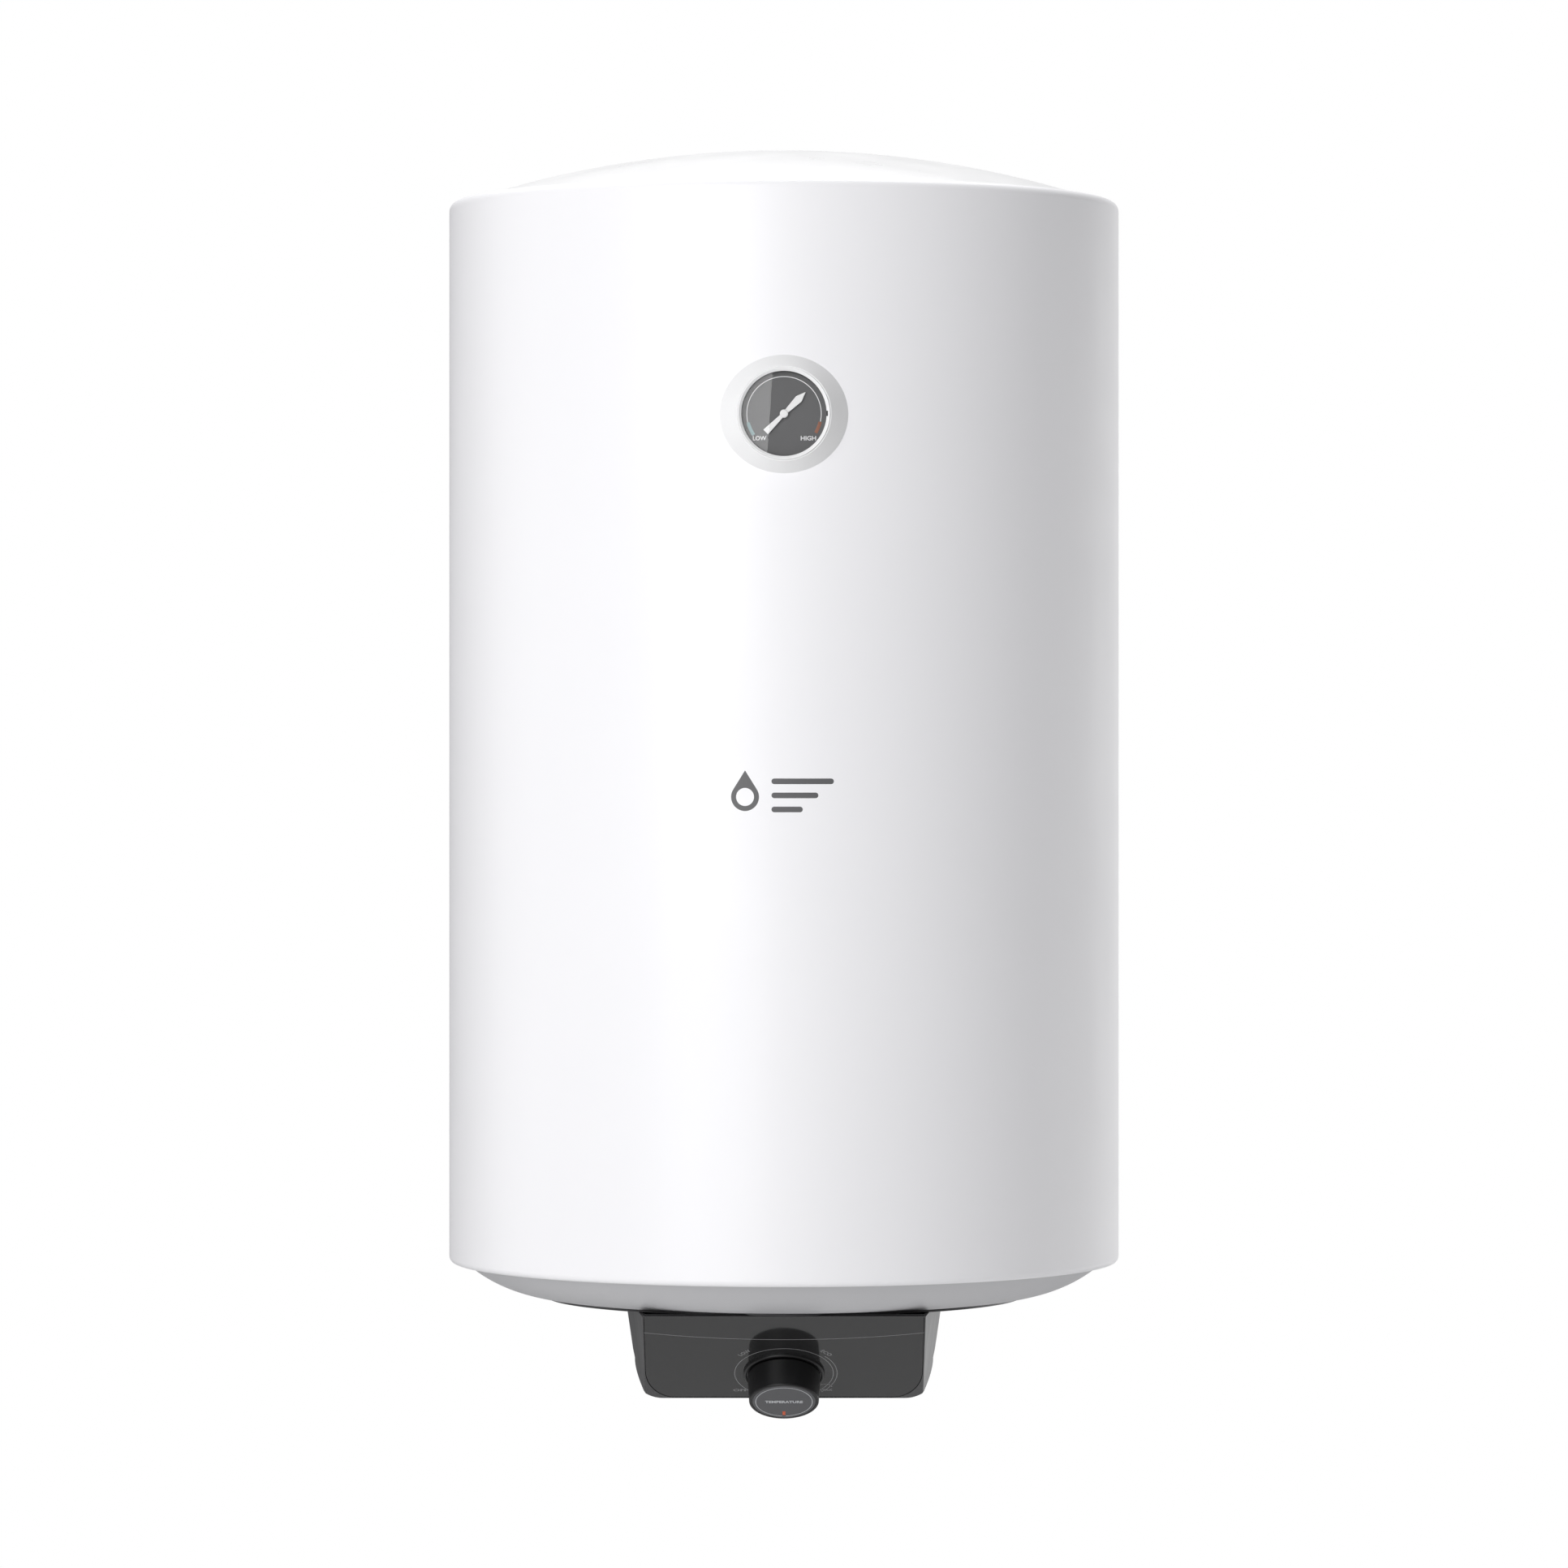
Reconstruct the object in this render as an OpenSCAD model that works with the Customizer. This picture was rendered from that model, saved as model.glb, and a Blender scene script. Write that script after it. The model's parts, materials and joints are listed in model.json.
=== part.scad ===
// Wall-hung electric storage water heater: an enamelled steel tank in foam inside a
// round painted casing, with a thermometer on the front and a control box underneath.
// The origin is the middle of the upper bracket's two slots, on the wall plane.
// +Y goes into the wall, +Z is up, and the front of the heater faces -Y.

/* [Casing] */
// Outer diameter of the casing
casing_d = 450; // [400:5:560]
// Height of the casing, from rim to rim
casing_h = 711; // [560:1:1100]
// Thickness of the casing's sheet steel
casing_t = 0.8; // [0.6:0.1:1.5]
// Radius of the rolled rim at the top
top_rim_r = 6.4; // [4:0.2:9]
// Radius of the rolled rim at the bottom
bottom_rim_r = 4; // [3:0.2:8]
// Width of the lip that each rim turns inwards
lip_w = 5; // [4:0.5:8]
// Space between the casing's back and the wall
wall_gap = 16; // [8:1:40]

/* [Caps] */
// Thickness of the moulded caps
cap_t = 2.5; // [2:0.1:4]
// Height of the domed top cap above the rim
dome_h = 33.6; // [15:0.2:50]
// Groove between the dome and the casing's lip
cap_groove = 2.6; // [1:0.1:4]
// Depth of the bottom dish below the rim
dish_drop = 22.4; // [15:0.2:40]
// Diameter of the dark disc under the dish
disc_d = 320; // [310:2:340]
// Thickness of that disc
disc_t = 2.4; // [2:0.1:4]
// How much of its edge shows below the dish
disc_edge = 1.6; // [1:0.1:1.8]
// Diameter of the dish's service opening
service_d = 214; // [208:1:220]

/* [Tank] */
// Outer diameter of the tank
tank_d = 390; // [320:2:400]
// Thickness of the tank's steel
tank_t = 2; // [1.5:0.1:3]
// Rise of each domed tank head
head_h = 60; // [40:1:80]
// Foam between the top cap and the top of the tank
top_foam = 32; // [25:1:60]
// Foam left under the tank's edge
bottom_foam = 18; // [10:1:20]

/* [Wall brackets] */
// Distance between the two slots
slot_spacing = 220; // [200:5:260]
// Width of a slot
slot_w = 10.5; // [8:0.5:12]
// Length of a slot, end to end
slot_len = 22; // [14:1:30]
// Height of a bracket
bracket_h = 60; // [40:2:80]
// Thickness of a bracket's steel
bracket_t = 3; // [2:0.5:4]
// How far a bracket goes past the middle of its slots
bracket_end = 28; // [20:1:40]
// Distance from a slot in to the bracket's leg
leg_inset = 22; // [18:1:30]
// Height of the casing's rim above the upper slots
bracket_drop = 165; // [110:5:200]
// Distance between the upper and lower slots
bracket_pitch = 340; // [200:10:420]

/* [Water pipes] */
// Distance between the two pipes
pipe_spacing = 100; // [80:2:106]
// Distance of the pipes behind the tank's axis
pipe_back = 120; // [112:1:122]
// Outer diameter of a pipe
pipe_d = 21.3; // [20:0.1:24]
// Diameter over the half-inch thread at a pipe's end
thread_d = 20.96; // [19:0.02:21]
// Wall of a pipe
pipe_t = 3; // [2:0.5:4]
// How far a pipe stands out below the disc
pipe_out = 30; // [20:1:50]
// Length of the thread at the end of a pipe
thread_len = 15; // [10:1:18]
// Width of the coloured collar round each pipe
collar_w = 8; // [5:0.5:8]

/* [Flange] */
// Diameter of the heating flange
flange_d = 150; // [140:1:154]
// Thickness of the flange plate
flange_t = 5; // [4:0.5:8]
// Outer diameter of the tank's neck
neck_d = 120; // [110:1:122]
// Wall of the neck
neck_t = 3; // [2:0.5:4]
// Thickness of the gasket
gasket_t = 3; // [2:0.5:4]
// Number of studs
stud_count = 6; // [5:1:8]
// Diameter of a stud
stud_d = 8; // [6:1:8]

/* [Immersed parts] */
// Length of the heating element above the flange
element_len = 300; // [200:10:400]
// Diameter of the element's tube
element_d = 8.4; // [6:0.2:9]
// Distance between the element's hairpins
element_spacing = 64; // [56:2:72]
// Width of a hairpin
hairpin_w = 32; // [28:1:34]
// Length of the anode rod
anode_len = 280; // [150:10:380]
// Diameter of the anode rod
anode_d = 21; // [16:1:24]
// Length of the sensor pocket
pocket_len = 260; // [150:10:380]
// Outer diameter of the sensor pocket
pocket_d = 13; // [10:0.5:14]
// Reach of the cold inlet into the tank
inlet_reach = 40; // [30:1:80]
// Space left between the hot outlet and the top of the tank
outlet_gap = 45; // [35:1:90]

/* [Control box] */
// Angle of the panel from level
panel_tilt = 35; // [28:1:42]
// Length of the panel down its slope
panel_len = 107.5; // [100:0.5:116]
// Width of the panel at its front face
panel_w = 184.8; // [170:0.2:194]
// Radius of the panel's lower corners, seen from the front
panel_corner_r = 20; // [12:1:30]
// Thickness of the glossy panel
panel_t = 2.2; // [1.6:0.1:3]
// Width of the cover's border round the panel
border = 1; // [0.8:0.1:2]
// How far the border stands above the panel
border_step = 0.3; // [0.1:0.1:0.6]
// Wall of the cover
cover_t = 2.5; // [2:0.1:3.5]
// Flare of the cover's side walls behind the panel
cover_flare = 9; // [4:0.5:11]
// Width of the cover where it meets the disc
cover_w = 213.6; // [206:0.2:218]
// Reach of the cover behind the tank's axis
cover_back = 85; // [82:1:87]
// Radius of the cover's back corners
cover_corner_r = 40; // [20:1:50]
// Radius of the cover's lower back edge
cover_edge_r = 16; // [10:1:20]

/* [Knob] */
// Distance of the knob's axis down the panel
knob_place = 74.9; // [70:0.1:78]
// Diameter of the knob at its base
knob_d = 48; // [40:1:52]
// Diameter of the knob at its face
knob_face_d = 45.8; // [36:0.2:46]
// Height of the knob's face above the panel
knob_h = 21.3; // [18:0.1:26]
// Wall of the knob
knob_t = 2; // [1.6:0.1:3]
// Diameter of the trim ring at the knob's foot
trim_d = 53.4; // [50:0.2:60]
// Height of the trim ring
trim_h = 2; // [1.5:0.1:3]
// Diameter of the thermostat's spindle
spindle_d = 6; // [5:0.5:8]
// Radial running clearance of turning parts
running_gap = 0.05; // [0.02:0.01:0.1]
// Clearance between parts that pass each other
pass_gap = 0.4; // [0.3:0.1:0.6]

/* [Thermometer] */
// Distance of the dial's middle below the top rim
gauge_drop = 152; // [90:1:200]
// Diameter of the white bezel
bezel_d = 59; // [50:1:66]
// Width of the bezel's face
bezel_w = 2.4; // [2:0.1:4]
// How far the bezel stands out from the casing
bezel_out = 10; // [8:0.5:14]
// Slope of the flared collar, from the dial's axis
collar_slope = 40; // [35:1:45]
// Depth of the case behind the casing's front
case_depth = 14; // [12:0.5:16]
// Angle of the needle, clockwise from straight up
needle_angle = 45; // [-125:1:120]

/* [Cord inlet] */
// Diameter of the gland's bore
gland_bore = 9; // [7:0.5:11]
// Length of the gland outside the cover
gland_out = 12; // [8:1:20]
// Depth of the gland below the disc
gland_drop = 30; // [26:1:32]

/* [Hidden] */
$fn = 64;
// Facets round the large curves
fine = 360;

// Extra length of a cutting shape past the face that it cuts
cut = 1;

// Places of the casing and its caps
casing_r = casing_d / 2;
axis_y = -(casing_r + wall_gap);
rim_top = bracket_drop;
rim_bottom = rim_top - casing_h;
lip_extra = 1.5;
top_lip_r = casing_r - top_rim_r - lip_w;
bottom_lip_r = casing_r - bottom_rim_r - lip_w - lip_extra;
dome_r = top_lip_r - cap_groove;
dome_sphere_r = (dome_r * dome_r + dome_h * dome_h) / (2 * dome_h);
dome_centre = rim_top + dome_h - dome_sphere_r;
disc_r = disc_d / 2;
disc_bottom = rim_bottom - dish_drop - disc_edge;
disc_top = disc_bottom + disc_t;
disc_step = 10;
disc_step_r = disc_r - disc_step;
dish_overlap = 6;
dish_flat_r = disc_r - dish_overlap;
dish_run = bottom_lip_r - pass_gap - dish_flat_r;
dish_arc_r = (dish_run * dish_run + dish_drop * dish_drop) / (2 * dish_drop);
dish_centre = rim_bottom - dish_drop + dish_arc_r;

// Places of the brackets
leg_x = slot_spacing / 2 - leg_inset;
pad_t = 3;
pad_w = 40;
pad_margin = 8;
pad_h = bracket_h + 2 * pad_margin;

// Places of the tank
tank_r = tank_d / 2;
tank_top = rim_top + dome_h - cap_t - top_foam;
seam_top = tank_top - head_h;
flange_room = 32;
tank_bottom = disc_top + flange_room;
seam_bottom = tank_bottom + head_h;
head_sphere_r = (tank_r * tank_r + head_h * head_h) / (2 * head_h);
foam_bottom = seam_bottom - bottom_foam;

// Places of the flange, from the tank's neck down
flange_r = flange_d / 2;
neck_r = neck_d / 2;
neck_ring_t = 6;
neck_out = 11;
neck_bottom = tank_bottom - neck_out;
gasket_bottom = neck_bottom - gasket_t;
plate_bottom = gasket_bottom - flange_t;
nut_h = 6.5;
nut_r = 7.5;
anode_nut_r = 6.5;
stud_end = 2;
stud_circle_r = (flange_r + neck_r) / 2;
pocket_place = -30;
anode_place = 28;
terminal_drop = 9;
anode_stud_r = 3;
neck_top = tank_bottom + head_rise_at(neck_r);
cutout_r = 10;
cutout_h = 12;
cutout_lug_w = 6;
cutout_lug_t = 4;
cutout_lug_out = 3;
// A wire ends just outside each lug, halfway along it
cutout_wire_x = cutout_r + cutout_lug_out + 1;
cutout_wire_y = cutout_lug_w / 2;
cutout_terminal_z = plate_bottom - (cutout_h + cutout_lug_t) / 2;
reset_r = 3;
reset_out = 2.5;
reset_depth = 6;
reset_travel = 1.5;
earth_x = -50;
earth_y = -25;
earth_len = 8;
earth_r = 2;

// Places of the water pipes
pipe_r = pipe_d / 2;
pipe_x = pipe_spacing / 2;
pipe_bottom = disc_bottom - pipe_out;
pipe_rho = norm([pipe_x, pipe_back]);
pipe_entry = tank_bottom + head_rise_at(pipe_rho);
collar_clear = 0.5;
collar_hole_r = pipe_r + collar_w - 1;

// Places of the control box
panel_half = panel_w / 2;
panel_foot_y = -disc_r + panel_len * cos(panel_tilt);
panel_foot_z = disc_bottom - panel_len * sin(panel_tilt);
panel_seat = border_step + panel_t;
cover_floor = panel_foot_z + cover_t;
gland_z = disc_bottom - gland_drop;
gland_r = 8;
gland_nut_r = 11;
gland_head_r = 11;
gland_neck_r = 9;
gland_nut_t = 4;
screw_r = 1.5;
screw_head_r = 3.6;
screw_head_h = 2;
screw_len = 10;
screw_gap = 0.2;
screw_x = 125;
screw_y = 58;
boss_r = 4.5;
boss_h = 6;
post_x = 70;
post_y = cover_back - 27;
post_r = 5;
wiring_y = -10;
wiring_r = cover_back - cover_t;

// Places on the knob, counted outwards from the panel
spindle_r = spindle_d / 2;
knob_base = trim_h + pass_gap;
knob_disc_t = 0.8;
knob_hub_t = 3;
trim_hole_r = spindle_r + 9;
spindle_end = 16;
knob_face_rim = 1.9;
knob_disc_r = knob_face_d / 2 - knob_face_rim;
mark_len = 5;
mark_w = 2;
mark_place = 12.6;
bush_r = 5;
bush_out = 1;

// Thermostat, counted inwards from the panel's border
thermostat_top = panel_seat + cover_t;
thermostat_w = 40;
thermostat_len = 34;
thermostat_h = 22;
thermostat_back = thermostat_top + thermostat_h;
thermostat_screw_x = 14;
thermostat_screw_grip = 5;
spindle_depth = 7;

// Places of the wiring
block_x = 69.5;
block_y = 28;
block_w = 16;
block_len = 40;
block_h = 14;
block_bottom = disc_bottom - 27;
pole_pitch = 13;
pole_r = 2.5;
pole_depth = 9;
pole_sink = 2;
wire_level = disc_bottom - 9;
wire_step = 4;
wire_side = 12;
wire_lead = 10;
wire_r = 1.3;
// Corner where the heating element's live wire turns in under the flange
element_wire_x = 14;
element_wire_y = -48;
capillary_r = 0.9;
capillary_drop = 16;

// Places of the thermometer, counted outwards from the casing's front
gauge_z = rim_top - gauge_drop;
gauge_front = axis_y - casing_r;
bezel_r = bezel_d / 2;
dial_view_r = bezel_r - bezel_w;
case_r = bezel_r - 1.1;
case_t = 1.2;
lens_t = 1.2;
bezel_t = 1.8;
bezel_skirt = 4;
lens_back = bezel_out - bezel_t - lens_t;
dial_back = lens_back - 4.6;
dial_t = 0.6;
needle_back = dial_back + dial_t + 1.4;
needle_t = 0.6;
needle_tip = 18.9;
needle_tail = 16.6;
needle_hub_r = 2.7;
// Half widths of the needle at its hub, at its widest place and along its tail
needle_neck = 1.1;
needle_half = 2.5;
needle_wide = 13.4;
tail_half = 2.15;
arbor_r = 0.6;
arbor_depth = 4;
movement_r = 11;
movement_h = 9;
bulb_r = 3;
pocket_bulb_len = 100;
bulb_place = pocket_len - pocket_bulb_len - 10;
bulb_len = 70;
bulb_x = 46;
bulb_drop = 90;
capillary_out = 8;
capillary_y = gauge_front + case_depth + 4;
capillary_turn = gauge_z - bulb_drop + 20;
bulb_rho = tank_r + bulb_r + 1;
bulb_y = axis_y - sqrt(bulb_rho * bulb_rho - bulb_x * bulb_x);
// Depth of the casing's curve at the collar's widest reach
collar_reach = 44;
collar_back = sqrt(casing_r * casing_r - collar_reach * collar_reach) - casing_r;

// Height of a tank head's outside above its own apex, at a distance from the axis
function head_rise_at(rho) = head_sphere_r - sqrt(head_sphere_r * head_sphere_r - rho * rho);

// Point on the panel's slope, from places in its own frame: x, down the slope, inwards
function panel_point(x, down, inwards) = [
    x,
    -disc_r + down * cos(panel_tilt) + inwards * sin(panel_tilt),
    disc_bottom - down * sin(panel_tilt) + inwards * cos(panel_tilt)
];

module on_axis(z = 0) {
    translate([0, axis_y, z]) children();
}

// Children drawn on the panel: x across, y down its slope, z into the box
module on_panel(down = 0) {
    on_axis(disc_bottom)
        translate([0, -disc_r, 0])
            rotate([-panel_tilt, 0, 0])
                translate([0, down, 0])
                    children();
}

// Children drawn on the knob's axis: z outwards from the panel
module on_knob() {
    on_panel(knob_place)
        mirror([0, 0, 1])
            children();
}

// Children drawn on the dial: x right, y up, z outwards from the casing's front
module on_gauge() {
    translate([0, gauge_front, gauge_z])
        rotate([90, 0, 0])
            children();
}

module tube(r_out, r_in, h) {
    difference() {
        cylinder(r = r_out, h = h);
        translate([0, 0, -cut])
            cylinder(r = r_in, h = h + 2 * cut);
    }
}

// Round rod along a route of points, with ball corners
module run(points, r) {
    for (i = [0 : len(points) - 2]) {
        along = points[i + 1] - points[i];
        flat = norm([along.x, along.y]);
        translate(points[i])
            rotate([0, atan2(flat, along.z), atan2(along.y, along.x)])
                cylinder(r = r, h = norm(along));
    }
    for (i = [1 : 1 : len(points) - 2]) {
        translate(points[i]) sphere(r = r * 1.03);
    }
}

// Quarter of a bent sheet's section, round the middle of the bend
module bend(r, t, quadrant) {
    intersection() {
        difference() {
            circle(r = r);
            circle(r = r - t);
        }
        rotate(90 * (quadrant - 1)) square(r + cut);
    }
}

// Right half of a large circle, for a turned section
module half_disc(r) {
    intersection() {
        circle(r = r, $fn = fine);
        translate([0, -r]) square([r, 2 * r]);
    }
}

// Section of a tank head's dome: flat side down, apex up
module head_section(r, rise) {
    sphere_r = (r * r + rise * rise) / (2 * rise);
    intersection() {
        translate([0, rise - sphere_r]) circle(r = sphere_r, $fn = fine);
        square([r, rise + cut]);
    }
}

module head_solid() {
    rotate_extrude() head_section(tank_r, head_h);
}

module head_shell() {
    rotate_extrude()
        difference() {
            head_section(tank_r, head_h);
            head_section(tank_r - tank_t, head_h - tank_t);
        }
}

// ---- Casing and caps ----

module casing_section() {
    translate([casing_r - casing_t, rim_bottom + bottom_rim_r])
        square([casing_t, casing_h - bottom_rim_r - top_rim_r]);
    translate([casing_r - top_rim_r, rim_top - top_rim_r])
        bend(top_rim_r, casing_t, 1);
    translate([top_lip_r, rim_top - casing_t])
        square([casing_r - top_rim_r - top_lip_r, casing_t]);
    translate([casing_r - bottom_rim_r, rim_bottom + bottom_rim_r])
        bend(bottom_rim_r, casing_t, 4);
    translate([bottom_lip_r, rim_bottom])
        square([casing_r - bottom_rim_r - bottom_lip_r, casing_t]);
}

// Slots in the casing's back that a bracket's two legs pass through
module leg_slots(z) {
    for (side = [-1, 1]) {
        translate([side * leg_x - bracket_t / 2 - pass_gap, axis_y, z - bracket_h / 2 - pass_gap])
            cube([bracket_t + 2 * pass_gap, casing_r + cut, bracket_h + 2 * pass_gap]);
    }
}

module casing() {
    color("white")
    difference() {
        on_axis() rotate_extrude() casing_section();
        on_gauge()
            translate([0, 0, -case_depth])
                cylinder(r = bezel_r, h = case_depth + cut);
        leg_slots(0);
        leg_slots(-bracket_pitch);
    }
}

module top_cap() {
    color("white")
    on_axis() rotate_extrude() {
        intersection() {
            translate([0, dome_centre]) difference() {
                circle(r = dome_sphere_r, $fn = fine);
                circle(r = dome_sphere_r - cap_t, $fn = fine);
            }
            translate([0, rim_top - casing_t - cap_t])
                square([dome_r, dome_h + casing_t + cap_t + cut]);
        }
        translate([dome_r - cap_t, rim_top - casing_t - cap_t])
            square([casing_r - top_rim_r - dome_r + cap_t, cap_t]);
    }
}

module dish_section() {
    intersection() {
        translate([dish_flat_r, dish_centre]) difference() {
            circle(r = dish_arc_r);
            circle(r = dish_arc_r - cap_t);
        }
        translate([dish_flat_r, rim_bottom - dish_drop - cut])
            square([dish_run, dish_drop + cut + casing_t + cap_t]);
    }
    // Flat edge that the disc's rim covers
    translate([disc_step_r + pass_gap, rim_bottom - dish_drop])
        square([dish_flat_r - disc_step_r - pass_gap, cap_t]);
    // Ledge inside the disc's step
    translate([service_d / 2, disc_top])
        square([dish_flat_r - service_d / 2, cap_t]);
    // Flange that rests on the casing's lip
    translate([dish_flat_r + dish_run - cap_t, rim_bottom + casing_t])
        square([casing_r - bottom_rim_r - dish_flat_r - dish_run + cap_t, cap_t]);
}

module at_screws() {
    for (side = [-1, 1]) {
        for (end = [-1, 1]) {
            translate([side * screw_x, axis_y + end * screw_y, 0]) children();
        }
    }
}

// Posts that the control cover is screwed to
module at_posts() {
    for (side = [-1, 1]) {
        translate([side * post_x, axis_y + post_y, 0]) children();
    }
}

module at_pipes() {
    for (side = [-1, 1]) {
        translate([side * pipe_x, axis_y + pipe_back, 0]) children();
    }
}

module bottom_cap() {
    color([0.65, 0.65, 0.66])
    difference() {
        union() {
            on_axis() rotate_extrude() dish_section();
            at_screws()
                translate([0, 0, disc_top])
                    cylinder(r = boss_r, h = cap_t + boss_h);
        }
        at_screws()
            translate([0, 0, disc_top - cut])
                cylinder(r = screw_r, h = screw_len + cut);
        at_pipes()
            translate([0, 0, disc_bottom])
                cylinder(r = collar_hole_r, h = disc_t + cap_t + cut);
    }
}

module base_disc() {
    color([0.23, 0.23, 0.24])
    difference() {
        on_axis(disc_bottom) {
            cylinder(r = disc_r, h = disc_edge);
            cylinder(r = disc_step_r, h = disc_t);
        }
        // Wiring space above the control box
        on_axis(disc_bottom - cut)
            translate([0, wiring_y, 0])
                cylinder(r = wiring_r, h = disc_t + 2 * cut);
        at_screws()
            translate([0, 0, disc_bottom - cut])
                cylinder(r = screw_r + screw_gap, h = disc_t + 2 * cut);
        at_pipes()
            translate([0, 0, disc_bottom - cut])
                cylinder(r = collar_hole_r, h = disc_t + 2 * cut);
    }
}

// Posts between the disc and the cover's floor, each with a blind hole for its screw
module cover_posts() {
    color([0.23, 0.23, 0.24])
    at_posts()
        translate([0, 0, cover_floor])
            difference() {
                cylinder(r = post_r, h = disc_bottom - cover_floor);
                translate([0, 0, -cut]) cylinder(r = screw_r, h = screw_len);
            }
}

// ---- Tank ----

module insulation() {
    color("khaki")
    difference() {
        union() {
            on_axis(foam_bottom)
                cylinder(r = casing_r - casing_t, h = rim_top - top_rim_r - cap_t - foam_bottom);
            intersection() {
                on_axis(dome_centre) rotate_extrude() half_disc(dome_sphere_r - cap_t);
                on_axis(foam_bottom)
                    cylinder(r = dome_r - cap_t, h = rim_top + dome_h - foam_bottom);
            }
        }
        on_axis(seam_bottom) cylinder(r = tank_r, h = seam_top - seam_bottom);
        on_axis(seam_top) head_solid();
        on_axis(seam_bottom) mirror([0, 0, 1]) head_solid();
        at_pipes()
            translate([0, 0, foam_bottom - cut])
                cylinder(r = pipe_r, h = head_h);
        on_gauge()
            translate([0, 0, -case_depth - 3])
                cylinder(r = case_r + pass_gap, h = case_depth + 3 + cut);
        gauge_bulb_shape(pass_gap);
        gauge_capillary_shape(capillary_r + pass_gap);
        bracket_legs(0, pass_gap);
        bracket_legs(-bracket_pitch, pass_gap);
        pad_shapes(0);
        pad_shapes(-bracket_pitch);
    }
}

module tank_barrel() {
    color("steelblue")
    on_axis(seam_bottom) tube(tank_r, tank_r - tank_t, seam_top - seam_bottom);
}

module tank_top_head() {
    color("steelblue")
    on_axis(seam_top) head_shell();
}

module tank_bottom_head() {
    color("steelblue")
    difference() {
        on_axis(seam_bottom) mirror([0, 0, 1]) head_shell();
        on_axis(tank_bottom - cut) cylinder(r = neck_r, h = head_h);
        at_pipes()
            translate([0, 0, tank_bottom - cut])
                cylinder(r = pipe_r, h = head_h + cut);
    }
}

// ---- Wall brackets ----

// Two legs from a wall plate forward to the pads on the tank
module bracket_legs(z, gap = 0) {
    difference() {
        for (side = [-1, 1]) {
            translate([side * leg_x - bracket_t / 2 - gap, axis_y, z - bracket_h / 2 - gap])
                cube([bracket_t + 2 * gap, -axis_y - bracket_t / 2, bracket_h + 2 * gap]);
        }
        on_axis(z - bracket_h) cylinder(r = tank_r + pad_t, h = 2 * bracket_h);
    }
}

module wall_bracket(z) {
    slot_run = slot_len - slot_w;
    difference() {
        union() {
            translate([-slot_spacing / 2 - bracket_end, -bracket_t, z - bracket_h / 2])
                cube([slot_spacing + 2 * bracket_end, bracket_t, bracket_h]);
            bracket_legs(z);
        }
        for (side = [-1, 1]) {
            translate([side * slot_spacing / 2, cut, z])
                rotate([90, 0, 0]) {
                    for (end = [-1, 1]) {
                        translate([end * slot_run / 2, 0, 0])
                            cylinder(r = slot_w / 2, h = bracket_t + 2 * cut);
                    }
                    translate([-slot_run / 2, -slot_w / 2, 0])
                        cube([slot_run, slot_w, bracket_t + 2 * cut]);
                }
        }
    }
}

module upper_wall_bracket() {
    color("silver") wall_bracket(0);
}

module lower_wall_bracket() {
    color("silver") wall_bracket(-bracket_pitch);
}

// Curved doubling plates on the tank, one under each leg
module pad_shapes(z) {
    intersection() {
        on_axis(z - pad_h / 2) tube(tank_r + pad_t, tank_r, pad_h);
        for (side = [-1, 1]) {
            translate([side * leg_x - pad_w / 2, axis_y, z - pad_h / 2])
                cube([pad_w, tank_r + 2 * pad_t, pad_h]);
        }
    }
}

module bracket_pads() {
    color("slategray") {
        pad_shapes(0);
        pad_shapes(-bracket_pitch);
    }
}

// ---- Flange ----

module at_studs() {
    for (i = [0 : stud_count - 1]) {
        on_axis()
            rotate(i * 360 / stud_count)
                translate([stud_circle_r, 0, 0])
                    children();
    }
}

// What passes through the flange plate, grown by a gap
module flange_holes() {
    on_axis() {
        for (side = [-1, 1]) {
            for (end = [-1, 1]) {
                translate([side * element_spacing / 2, end * hairpin_w / 2, plate_bottom - cut])
                    cylinder(r = element_d / 2, h = flange_t + gasket_t);
            }
        }
        translate([0, pocket_place, plate_bottom - cut])
            cylinder(r = pocket_d / 2, h = flange_t + gasket_t);
        translate([0, anode_place, plate_bottom - cut])
            cylinder(r = anode_stud_r, h = flange_t + gasket_t);
    }
}

module flange_neck() {
    color("steelblue")
    difference() {
        on_axis(neck_bottom) {
            tube(neck_r, neck_r - neck_t, neck_top + tank_t - neck_bottom);
            tube(flange_r, neck_r - neck_t, neck_ring_t);
        }
        at_studs()
            translate([0, 0, neck_bottom - cut])
                cylinder(r = stud_d / 2, h = neck_ring_t + 2 * cut);
    }
}

module flange_studs() {
    color("silver")
    at_studs()
        translate([0, 0, plate_bottom - nut_h - stud_end])
            cylinder(r = stud_d / 2, h = neck_bottom + neck_ring_t - plate_bottom + nut_h + stud_end);
}

module flange_gasket() {
    color("dimgray")
    difference() {
        on_axis(gasket_bottom) tube(flange_r, neck_r - neck_t, gasket_t);
        at_studs()
            translate([0, 0, gasket_bottom - cut])
                cylinder(r = stud_d / 2 + pass_gap, h = gasket_t + 2 * cut);
    }
}

module flange_plate() {
    color("lightslategray")
    difference() {
        on_axis(plate_bottom) cylinder(r = flange_r, h = flange_t);
        flange_holes();
        at_studs()
            translate([0, 0, plate_bottom - cut])
                cylinder(r = stud_d / 2 + pass_gap, h = flange_t + 2 * cut);
    }
}

module flange_nuts() {
    color("silver")
    at_studs()
        translate([0, 0, plate_bottom - nut_h])
            difference() {
                cylinder(r = nut_r, h = nut_h, $fn = 6);
                translate([0, 0, -cut]) cylinder(r = stud_d / 2, h = nut_h + 2 * cut);
            }
}

// ---- Immersed parts ----

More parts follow.
